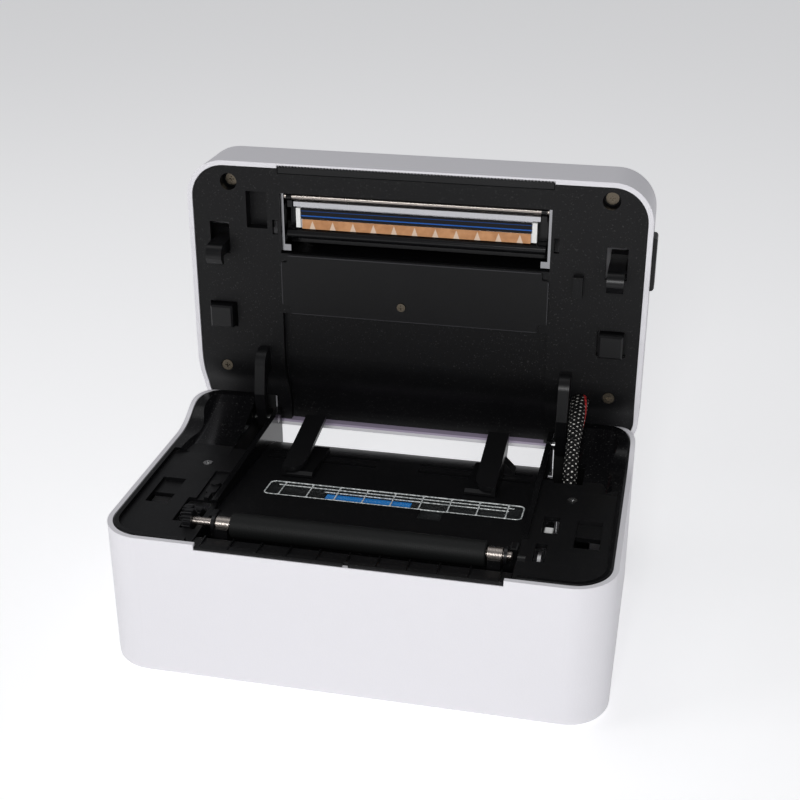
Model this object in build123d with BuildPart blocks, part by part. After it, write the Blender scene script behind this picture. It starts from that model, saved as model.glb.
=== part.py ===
from build123d import *
import math
import os

os.makedirs("parts", exist_ok=True)

# A desktop label and receipt printer with a clamshell lid, drawn in millimetres.
# X runs to the right of the printer, Y to its back and Z up. The origin lies on the desk,
# under the middle of the base. The lid stands open, and its hinge value is zero there.

# ---------------------------------------------------------------- driving dimensions

# housing
body_width = 215.0
body_depth = 135.0
base_height = 66.5
lid_height = 32.5
foot_proud = 1.5
corner_radius = 18.2
shell_wall = 2.2
base_bottom_round = 3.0
lid_top_round = 6.0
parting_gap = 0.6

# lid hinge
hinge_inset = 7.5
hinge_drop = 2.8
rim_ratio = 1.52
rise_length = 32.0
lid_open_angle = 90.0
hinge_pin_radius = 2.0
ear_thickness = 5.0

# base tray
lip_width = 2.4
lip_round = 0.8
deck_drop = 1.5
deck_thickness = 2.0
tray_skirt = 11.0
channel_width = 132.6
channel_wall = 2.5
hinge_slot_width = 8.0
rail_proud = 0.7
cove_length = 42.0
cove_side_round = 8.0
floor_slope = 4.5
floor_front_drop = 2.4
floor_rear_drop = 21.4
floor_thickness = 2.0

# print mechanism
platen_inset = 21.0
platen_drop = 1.3
roller_radius = 5.3
roller_end_gap = 12.3
platen_shaft_radius = 2.0
bush_radius = 3.3
bush_length = 6.6
bush_inset = 8.7
head_gap = 0.35
gear_module = 0.6
platen_teeth = 16
idler_teeth = 22
idler_wheel_teeth = 24
reduction_teeth = 36
pinion_teeth = 12
motor_radius = 17.5
motor_length = 22.0

# paper guides
guide_inset = 19.1
guide_wall = 2.0
guide_bar_width = 9.7
guide_out_travel = 11.0
guide_narrowest = 34.4
guide_module = 0.8
guide_pinion_teeth = 10
slot_width = 2.5

# clearances
fit_gap = 0.2
running_gap = 0.05
body_gap = 0.4

# ---------------------------------------------------------------- derived places

front_y = -body_depth / 2
rear_y = body_depth / 2
half_width = body_width / 2
shell_bottom = foot_proud
parting_z = foot_proud + base_height
hinge_y = rear_y - hinge_inset
rim_radius = rim_ratio * hinge_inset
hinge_z = parting_z - hinge_drop
rise_y = hinge_y - rise_length
hinge_axis = Axis((0, hinge_y, hinge_z), (1, 0, 0))

tray_inset = shell_wall + fit_gap
tray_width = body_width - 2 * tray_inset
tray_depth = body_depth - 2 * tray_inset
tray_radius = corner_radius - tray_inset
tray_front = front_y + tray_inset
tray_rear = rear_y - tray_inset
deck_z = parting_z - deck_drop
channel_half = channel_width / 2
wall_outer = channel_half + channel_wall
slot_wall_x = wall_outer + hinge_slot_width
head_half = channel_half - 3.3
crest_z = hinge_z + rim_radius

platen_y = front_y + platen_inset
platen_z = parting_z - platen_drop
platen_top = platen_z + roller_radius
roller_length = channel_width - 2 * roller_end_gap
bush_span = channel_width - 2 * bush_inset
floor_front_y = platen_y + roller_radius + 2.2
floor_bend_y = hinge_y - 22.0
guide_gap_half = channel_half - guide_inset
guide_in_travel = guide_gap_half - guide_narrowest / 2
lid_edge_z = parting_z + parting_gap
plate_shift = parting_gap + 0.5
plate_z = parting_z + plate_shift
plate_thickness = 2.2


# ---------------------------------------------------------------- shared helpers

def block(x_span, y_span, z_span, mode=Mode.ADD):
    """Add or cut a block that fills the given span on each axis."""
    spans = (x_span, y_span, z_span)
    with Locations(tuple((low + high) / 2 for low, high in spans)):
        Box(*[high - low for low, high in spans], mode=mode)


def cross_rod(radius, x_span, y, z, mode=Mode.ADD):
    """Add or cut a round bar that lies along X."""
    middle = Location(((x_span[0] + x_span[1]) / 2, y, z), (0, 90, 0))
    with Locations(middle):
        Cylinder(radius, x_span[1] - x_span[0], mode=mode)


def upright_rod(radius, x, y, z_span, mode=Mode.ADD):
    """Add or cut a round bar that stands along Z."""
    with Locations((x, y, (z_span[0] + z_span[1]) / 2)):
        Cylinder(radius, z_span[1] - z_span[0], mode=mode)


def both_sides():
    """Mirror everything drawn so far to the other side of the printer."""
    mirror(about=Plane.YZ)


def parting_area(shift, far_z):
    """Side view between the parting surface, raised by shift, and the level far_z."""
    ahead = front_y - 1
    behind = rear_y + 1
    flat = parting_z + shift
    crest_radius = rim_radius + shift
    crest = (hinge_y, hinge_z + crest_radius)
    middle = ((rise_y + hinge_y) / 2, (flat + crest[1]) / 2)
    drop_angle = math.degrees(math.acos((behind - hinge_y) / crest_radius))
    with BuildSketch(Plane.YZ) as area:
        with BuildLine():
            Line((ahead, far_z), (ahead, flat))
            Line((ahead, flat), (rise_y, flat))
            TangentArc((rise_y, flat), middle, tangent=(1, 0))
            TangentArc(crest, middle, tangent=(-1, 0))
            over = CenterArc((hinge_y, hinge_z), crest_radius, 90, drop_angle - 90)
            Line(over @ 1, (behind, far_z))
            Line((behind, far_z), (ahead, far_z))
        make_face()
    return area.sketch


def rise_at(y):
    """How far the parting surface has risen at a place in the first half of its curve."""
    half_rise = (crest_z - parting_z) / 2
    bend = ((rise_length / 2) ** 2 + half_rise ** 2) / (2 * half_rise)
    return bend - math.sqrt(bend ** 2 - (y - rise_y) ** 2)


def floor_height(y):
    """Height of the straight part of the paper floor at a place along the printer."""
    fall = (y - floor_front_y) * math.tan(math.radians(floor_slope))
    return parting_z - floor_front_drop - fall


def floor_curve(shift, last_y):
    """Side-view edges of the paper floor, raised by shift, from its front end to last_y."""
    front = (floor_front_y, floor_height(floor_front_y) + shift)
    bend = (floor_bend_y, floor_height(floor_bend_y) + shift)
    slope = math.radians(floor_slope)
    Line(front, bend)
    TangentArc(bend, (last_y, parting_z - floor_rear_drop + shift),
               tangent=(math.cos(slope), -math.sin(slope)))


def outline(width, depth, radius, z_span):
    """A solid slab with rounded upright corners."""
    with BuildPart() as slab:
        with BuildSketch(Plane.XY.offset(z_span[0])):
            RectangleRounded(width, depth, radius)
        extrude(amount=z_span[1] - z_span[0])
    return slab.part


def swing_open(piece):
    """Replace a piece drawn with the lid shut by the same piece with the lid open."""
    add(piece.part.rotate(hinge_axis, -lid_open_angle), mode=Mode.REPLACE)


# ---------------------------------------------------------------- base shell

exit_half = channel_half - 2.3
exit_drop = 2.6
rear_slot_half = wall_outer + 0.3
rear_slot_z = parting_z - floor_rear_drop - floor_thickness - 0.3
port_z = shell_bottom + 18.0
inlet_x = half_width - 23.5
usb_x = inlet_x - 18.0
switch_x = -(half_width - 31.5)
inlet_hole = (11.4, 10.4)
usb_hole = (12.6, 11.6)
switch_hole = (21.4, 13.4)
hatch_width = body_width - 65.0
hatch_depth = body_depth - 43.0
hatch_ledge = 4.0
hatch_step = 1.0

with BuildPart() as base_shell:
    with BuildSketch(Plane.XY.offset(shell_bottom)):
        RectangleRounded(body_width, body_depth, corner_radius)
    extrude(amount=base_height + 2 * rim_radius)
    fillet(base_shell.faces().sort_by(Axis.Z)[0].edges(), radius=base_bottom_round)
    add(outline(body_width - 2 * shell_wall, body_depth - 2 * shell_wall,
                corner_radius - shell_wall,
                (shell_bottom + shell_wall, parting_z + 3 * rim_radius)), mode=Mode.SUBTRACT)
    extrude(parting_area(0, shell_bottom - 1), amount=half_width + 1, both=True,
            mode=Mode.INTERSECT)
    block((-exit_half, exit_half), (front_y - 1, front_y + shell_wall + 1),
          (parting_z - exit_drop, parting_z + 1), mode=Mode.SUBTRACT)
    block((-rear_slot_half, rear_slot_half), (rear_y - shell_wall - 1, rear_y + 1),
          (rear_slot_z, parting_z + rim_radius), mode=Mode.SUBTRACT)
    for hole_x, hole in ((inlet_x, inlet_hole), (usb_x, usb_hole), (switch_x, switch_hole)):
        block((hole_x - hole[0] / 2, hole_x + hole[0] / 2), (rear_y - shell_wall - 1, rear_y + 1),
              (port_z - hole[1] / 2, port_z + hole[1] / 2), mode=Mode.SUBTRACT)
    add(outline(hatch_width, hatch_depth, 4, (shell_bottom - 1, shell_bottom + hatch_step)),
        mode=Mode.SUBTRACT)
    add(outline(hatch_width - 2 * hatch_ledge, hatch_depth - 2 * hatch_ledge, 3,
                (shell_bottom - 1, shell_bottom + 2 * shell_wall)), mode=Mode.SUBTRACT)
base_shell.part.label = "base_shell"
export_step(base_shell.part, "parts/base_shell.step")

# ---------------------------------------------------------------- base tray

well_drop = 13.0
well_front_y = platen_y - roller_radius - 2.2
apron_seat_drop = 7.0
recess_width = tray_width - 2 * lip_width
recess_depth = tray_depth - 2 * lip_width
recess_half = recess_width / 2
cove_y = hinge_y - 4.0 - cove_length
cove_top = (hinge_y - 4.0, crest_z - 0.6)
latch_x = half_width - 14.5
latch_y = front_y + 44.0
latch_hole_width = 10.6
latch_hole = (latch_y - 10.5, latch_y + 12.0)
latch_ledge_y = latch_y + 0.5
latch_ledge_drop = 1.6
ledge_thickness = 2.0
gear_window = ((-wall_outer - 11.8, -wall_outer), (platen_y - 1.1, platen_y + 19.5))
platen_gear_window = ((-wall_outer - 6.8, -wall_outer), (platen_y - 6.3, platen_y + 0.5))
spring_window = ((wall_outer + 3.8, wall_outer + 8.6), (platen_y - 1.5, platen_y + 12.5))
sensor_window = ((wall_outer + 4.6, wall_outer + 11.4), (latch_y - 1.1, latch_y + 12.5))
cable_x = slot_wall_x + 3.2
cable_hole = (hinge_y - 40.0, hinge_y - 24.0)
cable_hole_width = 13.0
keeper_y = platen_y + 24.0
keeper_recess = ((-wall_outer - 8.5, -wall_outer - 0.4), (keeper_y - 5.5, keeper_y + 21.3))
boss_y = cove_y - 8.5
boss_x = slot_wall_x + 6.8
boss_bore_radius = 2.3
boss_thread_radius = 1.3
strip_x = 5.6
strip_length = channel_width - 16.6
strip_width = 14.6
strip_y = hinge_y - 63.8
strip_thickness = 1.1
sensor_size = (38.6, 7.0)
sensor_place = (-10.9, -2.5)
strip_tab = (10.0, 9.0)
strip_tab_x = 24.5
strip_rib_pitch = 12.7
strip_ribs = 1 + int((strip_length - 6) / strip_rib_pitch)
slot_front_y = hinge_y - 30.5
slot_rear_y = hinge_y - 22.5
slot_inner = 10.0
slot_outer = channel_half - 3.9
hinge_pin_top = hinge_z + 4.0

with BuildPart() as cove_cutter:
    with BuildSketch(Plane.YZ.offset(slot_wall_x)):
        with BuildLine():
            arc = TangentArc((cove_y, deck_z), cove_top, tangent=(1, 0))
            far = arc @ 1 + (arc % 1) * 15
            Line(arc @ 1, far)
            Line(far, (far.X, crest_z + 20))
            Line((far.X, crest_z + 20), (cove_y, crest_z + 20))
            Line((cove_y, crest_z + 20), (cove_y, deck_z))
        make_face()
    extrude(amount=recess_half - slot_wall_x)
    side_face = cove_cutter.faces().sort_by(Axis.X)[-1]
    side_edges = side_face.edges().sort_by(Axis.Z)[0:3].sort_by(Axis.Y)
    fillet([e for e in side_edges if e.length > 10 and abs((e @ 0).Z - (e @ 1).Z) > 1
            and abs((e @ 0).Y - (e @ 1).Y) > 1], radius=cove_side_round)

with BuildPart() as side_hollow:
    with BuildSketch(Plane.YZ.offset(wall_outer + 2)):
        with BuildLine():
            low = parting_z - tray_skirt - 1
            deck_under = deck_z - deck_thickness
            Line((tray_front + 2, low), (tray_front + 2, deck_under))
            Line((tray_front + 2, deck_under), (cove_y - 6, deck_under))
            Line((cove_y - 6, deck_under), (cove_y - 6, low))
            Line((cove_y - 6, low), (tray_front + 2, low))
        make_face()
    extrude(amount=recess_half - wall_outer - 2)
    with BuildSketch(Plane.YZ.offset(slot_wall_x + 2)):
        with BuildLine():
            deep = (hinge_y - 10, deck_under + 5.5)
            Line((cove_y - 6.5, low), (cove_y - 6.5, deck_under))
            Line((cove_y - 6.5, deck_under), (cove_y, deck_under))
            under = TangentArc((cove_y, deck_under), deep, tangent=(1, 0))
            Line(under @ 1, (tray_rear - 2, deep[1]))
            Line((tray_rear - 2, deep[1]), (tray_rear - 2, low))
            Line((tray_rear - 2, low), (cove_y - 6.5, low))
        make_face()
    extrude(amount=recess_half - slot_wall_x - 2)
    add(outline(tray_width - 4, tray_depth - 4, tray_radius - 2, (0, crest_z + 10)),
        mode=Mode.INTERSECT)

with BuildPart() as channel_block:
    with BuildSketch(Plane.YZ):
        with BuildLine():
            tray_end = rear_y - fit_gap
            rail_top = parting_z + rail_proud
            seat = parting_z - apron_seat_drop
            well = parting_z - well_drop
            Polyline((floor_front_y, floor_height(floor_front_y) - floor_thickness),
                     (floor_front_y, well - 2), (well_front_y - 2, well - 2),
                     (well_front_y - 2, seat - 2), (tray_front, seat - 2), (tray_front, deck_z),
                     (floor_front_y + 8, deck_z), (floor_front_y + 8, rail_top),
                     (tray_rear, rail_top),
                     (tray_rear, parting_z - floor_rear_drop + 2),
                     (tray_end, parting_z - floor_rear_drop + 2),
                     (tray_end, parting_z - floor_rear_drop - floor_thickness))
            floor_curve(-floor_thickness, tray_end)
        make_face()
    extrude(amount=wall_outer, both=True)

with BuildPart() as channel_void:
    with BuildSketch(Plane.YZ):
        with BuildLine():
            Polyline((rear_y + 1, parting_z - floor_rear_drop - 0.9), (rear_y + 1, crest_z + 20),
                     (tray_front - 1, crest_z + 20), (tray_front - 1, seat),
                     (well_front_y, seat), (well_front_y, well), (floor_front_y - 2, well),
                     (floor_front_y - 2, floor_height(floor_front_y) - 0.01),
                     (floor_front_y, floor_height(floor_front_y)))
            floor_curve(0, rear_y)
            Line((rear_y, parting_z - floor_rear_drop),
                 (rear_y + 1, parting_z - floor_rear_drop - 0.9))
        make_face()
    extrude(amount=channel_half, both=True)

with BuildPart() as base_tray:
    add(outline(tray_width, tray_depth, tray_radius, (parting_z - tray_skirt, crest_z + 2)))
    extrude(parting_area(parting_gap / 2, 0), amount=half_width, both=True,
            mode=Mode.INTERSECT)
    # the deck lies below the lip, whose outer edge is rounded like a bead
    lip_edges = base_tray.edges().filter_by(lambda e: e.center().Z > parting_z - 1)
    fillet(lip_edges.filter_by(lambda e: abs(e.center().X) > tray_width / 2 - tray_radius
                               or e.center().Y < tray_front + 1), radius=lip_round)
    with BuildSketch(Plane.XY.offset(deck_z)):
        RectangleRounded(recess_width, recess_depth, tray_radius - lip_width)
        with Locations((0, rear_y + cove_y)):
            Rectangle(body_width, 2 * rear_y, mode=Mode.SUBTRACT)
    extrude(amount=rim_radius, mode=Mode.SUBTRACT)
    add(cove_cutter.part, mode=Mode.SUBTRACT)
    add(cove_cutter.part.mirror(Plane.YZ), mode=Mode.SUBTRACT)
    block((-slot_wall_x, slot_wall_x), (cove_y, rise_y), (deck_z, crest_z), mode=Mode.SUBTRACT)
    add(side_hollow.part, mode=Mode.SUBTRACT)
    add(side_hollow.part.mirror(Plane.YZ), mode=Mode.SUBTRACT)
    # the middle is open down to the paper floor and the roller well
    block((-wall_outer, wall_outer), (tray_front, tray_rear), (0, crest_z + 5),
          mode=Mode.SUBTRACT)
    add(channel_block.part)
    add(channel_void.part, mode=Mode.SUBTRACT)
    for side in (-1, 1):
        # slot for the hinge ear, and the pin holes on both sides of it
        near, far = sorted((side * wall_outer, side * slot_wall_x))
        block((near, far), (cove_y + 8, rear_y), (0, crest_z + 5), mode=Mode.SUBTRACT)
        inner, outer = sorted((side * channel_half, side * wall_outer))
        block((inner, outer), (hinge_y - 5, tray_rear), (rail_top - 1, hinge_pin_top))
        end = side * (slot_wall_x + 1.2)
        cross_rod(hinge_pin_radius + running_gap, sorted((side * channel_half, end)),
                  hinge_y, hinge_z, mode=Mode.SUBTRACT)
        # opening for the latch hook, with a ledge behind it that the hook grips
        inner = side * latch_x - latch_hole_width / 2
        outer = side * latch_x + latch_hole_width / 2
        block((inner, outer), latch_hole, (deck_z - latch_ledge_drop, deck_z + 1),
              mode=Mode.SUBTRACT)
        block((inner - 2, outer + 2), (latch_ledge_y, latch_hole[1] + 2),
              (deck_z - latch_ledge_drop - ledge_thickness, deck_z - latch_ledge_drop))
        block((inner, outer), (latch_hole[0], latch_ledge_y),
              (deck_z - deck_thickness - 1, deck_z + 1), mode=Mode.SUBTRACT)
        # sunk seat of the screw that holds the tray down
        upright_rod(boss_bore_radius, side * boss_x, boss_y, (deck_z - 0.8, deck_z + 1),
                    mode=Mode.SUBTRACT)
        upright_rod(boss_thread_radius, side * boss_x, boss_y, (deck_z - 5, deck_z),
                    mode=Mode.SUBTRACT)
        # roller bearing saddles
        post = sorted((side * (bush_span / 2 - bush_length / 2 + 0.6),
                       side * (bush_span / 2 + bush_length / 2 - 0.6)))
        block(post, (platen_y - 5, platen_y + 5), (well - 1, platen_z))
        cross_rod(bush_radius + running_gap, post, platen_y, platen_z, mode=Mode.SUBTRACT)
        cross_rod(platen_shaft_radius + 0.6, sorted((side * (channel_half - 1),
                                                     side * (wall_outer + 1))),
                  platen_y, platen_z, mode=Mode.SUBTRACT)
        # slots that the paper guides slide in
        for slot_y in (slot_front_y, slot_rear_y):
            block(sorted((side * slot_inner, side * slot_outer)),
                  (slot_y - slot_width / 2, slot_y + slot_width / 2),
                  (parting_z - 20, parting_z), mode=Mode.SUBTRACT)
    # gear window on the left, lid sensor window and cable opening on the right
    block(*gear_window, (deck_z - deck_thickness - 1, deck_z + 1), mode=Mode.SUBTRACT)
    block(*platen_gear_window, (deck_z - deck_thickness - 1, deck_z + 1), mode=Mode.SUBTRACT)
    block(*sensor_window, (deck_z - deck_thickness - 1, deck_z + 1), mode=Mode.SUBTRACT)
    block(*spring_window, (deck_z - deck_thickness - 1, deck_z + 1), mode=Mode.SUBTRACT)
    block((cable_x - cable_hole_width / 2, cable_x + cable_hole_width / 2), cable_hole,
          (deck_z - deck_thickness - 8, crest_z), mode=Mode.SUBTRACT)
    # shallow recess with the gear keeper, and a frame round it
    block(*keeper_recess, (deck_z - 0.9, deck_z + 1), mode=Mode.SUBTRACT)
    # pocket for the clear sensor window, sunk in the sloping floor
    strip_plane = Plane(origin=(strip_x, strip_y, floor_height(strip_y)), x_dir=(1, 0, 0),
                        z_dir=(0, math.sin(math.radians(floor_slope)),
                               math.cos(math.radians(floor_slope))))
    with BuildSketch(strip_plane.offset(-strip_thickness - fit_gap)):
        RectangleRounded(strip_length + 2 * fit_gap, strip_width + 2 * fit_gap, 3)
        with Locations((strip_tab_x - strip_x, -strip_width / 2 - strip_tab[1] / 2 + 1)):
            Rectangle(strip_tab[0] + 2 * fit_gap, strip_tab[1] + 2 + 2 * fit_gap)
    extrude(amount=strip_thickness + 5, mode=Mode.SUBTRACT)
    with BuildSketch(strip_plane.offset(-3 * floor_thickness)):
        with Locations(sensor_place):
            Rectangle(sensor_size[0] + 1, sensor_size[1] + 1)
    extrude(amount=3 * floor_thickness, mode=Mode.SUBTRACT)
base_tray.part.label = "base_tray"
export_step(base_tray.part, "parts/base_tray.step")

# ---------------------------------------------------------------- base fittings

foot_place = (half_width - 23.5, rear_y - 21.5)
foot_radius = 7.0
inner_floor = shell_bottom + shell_wall
board_z = inner_floor + 5.0
board_half = channel_half - 4.3
board_y = (front_y + 29.5, rear_y - 27.5)
board_thickness = 1.6
# middle, size and height of each large chip on the board
board_chips = ((-30, -10, 12, 1.6), (5, 5, 9, 1.2), (30, -15, 6, 1.0), (-8, 24, 7, 1.2))
apron_rib_pitch = 12.4
apron_ribs = int(exit_half / apron_rib_pitch)

with BuildPart() as front_apron:
    with BuildSketch(Plane.YZ):
        with BuildLine():
            apron_back = well_front_y - fit_gap
            Polyline((apron_back, seat), (apron_back, parting_z - 4.2),
                     (apron_back - 3.5, parting_z - 2.2), (tray_front, parting_z - 1.4),
                     (tray_front, seat), (apron_back, seat))
        make_face()
    extrude(amount=channel_half - fit_gap, both=True)
    block((-exit_half + fit_gap, exit_half - fit_gap), (front_y + 0.4, tray_front + 1),
          (parting_z - exit_drop + 0.1, parting_z - 1.1))
    chamfer(front_apron.edges().filter_by(Axis.X).group_by(Axis.Y)[0].sort_by(Axis.Z)[-1:],
            length=0.5)
    # shallow ribs that the printed strip slides over
    for rib in range(-apron_ribs, apron_ribs + 1):
        block((rib * apron_rib_pitch - 0.25, rib * apron_rib_pitch + 0.25),
              (front_y + 0.8, apron_back - 3.4),
              (parting_z - exit_drop + 0.2, parting_z - 0.95))
    block((-1.2, 1.2), (front_y, front_y + 2.0), (parting_z - 4, parting_z), mode=Mode.SUBTRACT)
front_apron.part.label = "front_apron"
export_step(front_apron.part, "parts/front_apron.step")

with BuildPart() as light_window:
    with BuildSketch(strip_plane.offset(-strip_thickness)):
        RectangleRounded(strip_length, strip_width, 2.8)
        with Locations((strip_tab_x - strip_x, -strip_width / 2 - strip_tab[1] / 2 + 1)):
            Rectangle(strip_tab[0], strip_tab[1] + 2)
    extrude(amount=strip_thickness - 0.3)
    # low cross ribs moulded on its top
    with BuildSketch(strip_plane.offset(-0.31)):
        with GridLocations(strip_rib_pitch, strip_width, strip_ribs, 1):
            Rectangle(0.7, strip_width - 3)
    extrude(amount=0.26)
light_window.part.label = "light_window"
export_step(light_window.part, "parts/light_window.step")

with BuildPart() as sensor_board:
    with BuildSketch(strip_plane.offset(-strip_thickness - 1.2)):
        with Locations(sensor_place):
            Rectangle(*sensor_size)
    extrude(amount=1.0)
    # parts soldered underneath
    with BuildSketch(strip_plane.offset(-strip_thickness - 2.3)):
        with Locations(sensor_place):
            with GridLocations(12, sensor_size[1], 3, 1):
                Rectangle(3.2, 2.6)
    extrude(amount=1.1)
sensor_board.part.label = "sensor_board"
export_step(sensor_board.part, "parts/sensor_board.step")

with BuildPart() as cover_sensor:
    block((wall_outer + 5.5, wall_outer + 9.2), (latch_y - 0.7, latch_y + 7.3),
          (parting_z - 9, parting_z - 3.4))
    chamfer(cover_sensor.faces().sort_by(Axis.Z)[-1].edges(), length=0.5)
cover_sensor.part.label = "cover_sensor"
export_step(cover_sensor.part, "parts/cover_sensor.step")

spring_y = platen_y + 5.5

with BuildPart() as earth_spring:
    with BuildSketch(Plane.YZ.offset(spring_window[0][0] + 1.7)):
        with BuildLine():
            arch = ThreePointArc((spring_y - 6.2, parting_z - 6.5), (spring_y, parting_z - 2.0),
                                 (spring_y + 6.2, parting_z - 6.5))
            offset(arch, amount=0.2)
        make_face()
    extrude(amount=1.4)
earth_spring.part.label = "earth_spring"
export_step(earth_spring.part, "parts/earth_spring.step")

with BuildPart() as bottom_cover:
    add(outline(hatch_width - 2 * fit_gap, hatch_depth - 2 * fit_gap, 3.8,
                (shell_bottom, shell_bottom + hatch_step)))
    add(outline(hatch_width - 2 * hatch_ledge - 2 * fit_gap,
                hatch_depth - 2 * hatch_ledge - 2 * fit_gap, 2.8,
                (shell_bottom, shell_bottom + shell_wall)))
bottom_cover.part.label = "bottom_cover"
export_step(bottom_cover.part, "parts/bottom_cover.step")

with BuildPart() as rubber_feet:
    with GridLocations(2 * foot_place[0], 2 * foot_place[1], 2, 2):
        with Locations((0, 0, foot_proud / 2)):
            Cylinder(foot_radius, foot_proud)
rubber_feet.part.label = "rubber_feet"
export_step(rubber_feet.part, "parts/rubber_feet.step")

with BuildPart() as tray_screws:
    for side in (-1, 1):
        upright_rod(2.1, side * boss_x, boss_y, (deck_z - 0.8, deck_z + 0.2))
        upright_rod(1.2, side * boss_x, boss_y, (deck_z - 8, deck_z - 0.7))
        upright_rod(0.9, side * boss_x, boss_y, (deck_z - 0.5, deck_z + 0.3),
                    mode=Mode.SUBTRACT)
tray_screws.part.label = "tray_screws"
export_step(tray_screws.part, "parts/tray_screws.step")

with BuildPart() as main_board:
    block((-board_half, board_half), board_y, (board_z, board_z + board_thickness))
    for chip in board_chips:
        block((chip[0] - chip[2] / 2, chip[0] + chip[2] / 2),
              (chip[1] - chip[2] / 2, chip[1] + chip[2] / 2),
              (board_z + board_thickness, board_z + board_thickness + chip[3]))
main_board.part.label = "main_board"
export_step(main_board.part, "parts/main_board.step")

port_depth = 14.0


def port_body(x, size, wall):
    """Shell of a socket that fills a hole in the rear wall, open to the back."""
    half = (size[0] / 2 - fit_gap, size[1] / 2 - fit_gap)
    y_span = (rear_y - shell_wall - port_depth, rear_y - 0.6)
    block((x - half[0], x + half[0]), y_span, (port_z - half[1], port_z + half[1]))
    block((x - half[0] + wall, x + half[0] - wall), (y_span[0] + 2, rear_y),
          (port_z - half[1] + wall, port_z + half[1] - wall), mode=Mode.SUBTRACT)


with BuildPart() as power_inlet:
    port_body(inlet_x, inlet_hole, 1.2)
    with Locations(Location((inlet_x, rear_y - shell_wall - port_depth + 6, port_z),
                            (90, 0, 0))):
        Cylinder(1.1, 9)
power_inlet.part.label = "power_inlet"
export_step(power_inlet.part, "parts/power_inlet.step")

with BuildPart() as usb_port:
    port_body(usb_x, usb_hole, 0.8)
    block((usb_x - 2.6, usb_x + 2.6), (rear_y - shell_wall - port_depth + 1, rear_y - 3),
          (port_z - 1.6, port_z + 1.6))
usb_port.part.label = "usb_port"
export_step(usb_port.part, "parts/usb_port.step")

with BuildPart() as switch_frame:
    port_body(switch_x, switch_hole, 1.2)
switch_frame.part.label = "switch_frame"
export_step(switch_frame.part, "parts/switch_frame.step")

rocker_y = rear_y - shell_wall - 2.0
rocker_tilt = 8.0
rocker_half = switch_hole[0] / 2 - 1.2 - fit_gap - 1.0

with BuildPart() as power_rocker:
    with BuildSketch(Plane.XY.offset(port_z)):
        with BuildLine():
            face_y = rear_y - 0.6
            Polyline((-rocker_half, rocker_y - 1), (-rocker_half, face_y),
                     (0, face_y - 1.2), (rocker_half, face_y), (rocker_half, rocker_y - 1),
                     (0, rocker_y - 4), (-rocker_half, rocker_y - 1))
        make_face()
    extrude(amount=switch_hole[1] / 2 - 1.2 - fit_gap - body_gap, both=True)
    add(power_rocker.part.translate((switch_x, 0, 0)), mode=Mode.REPLACE)
    add(power_rocker.part.rotate(Axis((switch_x, rocker_y, port_z), (0, 0, 1)), rocker_tilt),
        mode=Mode.REPLACE)
power_rocker.part.label = "power_rocker"
export_step(power_rocker.part, "parts/power_rocker.step")

with BuildPart() as hinge_pins:
    for side in (-1, 1):
        cross_rod(hinge_pin_radius,
                  sorted((side * channel_half, side * (slot_wall_x + 1.1))), hinge_y, hinge_z)
hinge_pins.part.label = "hinge_pins"
export_step(hinge_pins.part, "parts/hinge_pins.step")

# ---------------------------------------------------------------- platen and gears

pressure = math.radians(20)
backlash = 0.08
gear_x = -(wall_outer + 2.4)
gear_width = 3.6
gear_step = 0.8
gear_hub_radius = 4.5
wheel_x = gear_x - gear_width - gear_step
axle_radius = 1.5


def tooth_angle(teeth, module, radius):
    """Half the width of a tooth, in degrees, at a radius from the middle of the gear."""
    base = module * teeth / 2 * math.cos(pressure)
    lean = math.acos(min(1.0, base / radius))
    at_pitch = (math.pi / 2 - backlash / module) / teeth
    return math.degrees(at_pitch + math.tan(pressure) - pressure - math.tan(lean) + lean)


def gear_shape(teeth, module, bore, phase=0.0):
    """Involute gear drawn flat about the origin, its first tooth at the phase angle."""
    pitch = module * teeth / 2
    tip = pitch + 0.9 * module
    root = pitch - 1.2 * module
    start = max(root + 0.05, pitch * math.cos(pressure))
    levels = (start, (start + tip) / 2, tip)
    with BuildSketch() as shape:
        with BuildLine():
            for tooth in range(teeth):
                middle = phase + 360 / teeth * tooth
                rise = [Vector(r, 0).rotate(Axis.Z, middle - tooth_angle(teeth, module, r))
                        for r in levels]
                fall = [Vector(r, 0).rotate(Axis.Z, middle + tooth_angle(teeth, module, r))
                        for r in levels[::-1]]
                foot = tooth_angle(teeth, module, start)
                first = Vector(root, 0).rotate(Axis.Z, middle - foot)
                last = Vector(root, 0).rotate(Axis.Z, middle + foot)
                following = Vector(root, 0).rotate(Axis.Z, middle + 360 / teeth - foot)
                Line(first, rise[0])
                ThreePointArc(*rise)
                Line(rise[2], fall[0])
                ThreePointArc(*fall)
                Line(fall[2], last)
                Line(last, following)
        make_face()
        Circle(bore, mode=Mode.SUBTRACT)
    return shape.sketch


def gear_plane(x, centre):
    """Plane across the X axis, looking from +X, through a gear's near face."""
    return Plane(origin=(x, centre[0], centre[1]), x_dir=(0, 1, 0), z_dir=(1, 0, 0))


def mesh_centre(centre, teeth_sum, module, angle):
    """Middle of the next gear, at an angle from +Y towards +Z."""
    reach = module * teeth_sum / 2
    return (centre[0] + reach * math.cos(math.radians(angle)),
            centre[1] + reach * math.sin(math.radians(angle)))


def mesh_phase(phase, teeth, next_teeth, angle):
    """Phase of the next gear, so that its gap takes the tooth of the gear before it."""
    return angle + 180 - (phase - angle) * teeth / next_teeth + 180 / next_teeth


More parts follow.
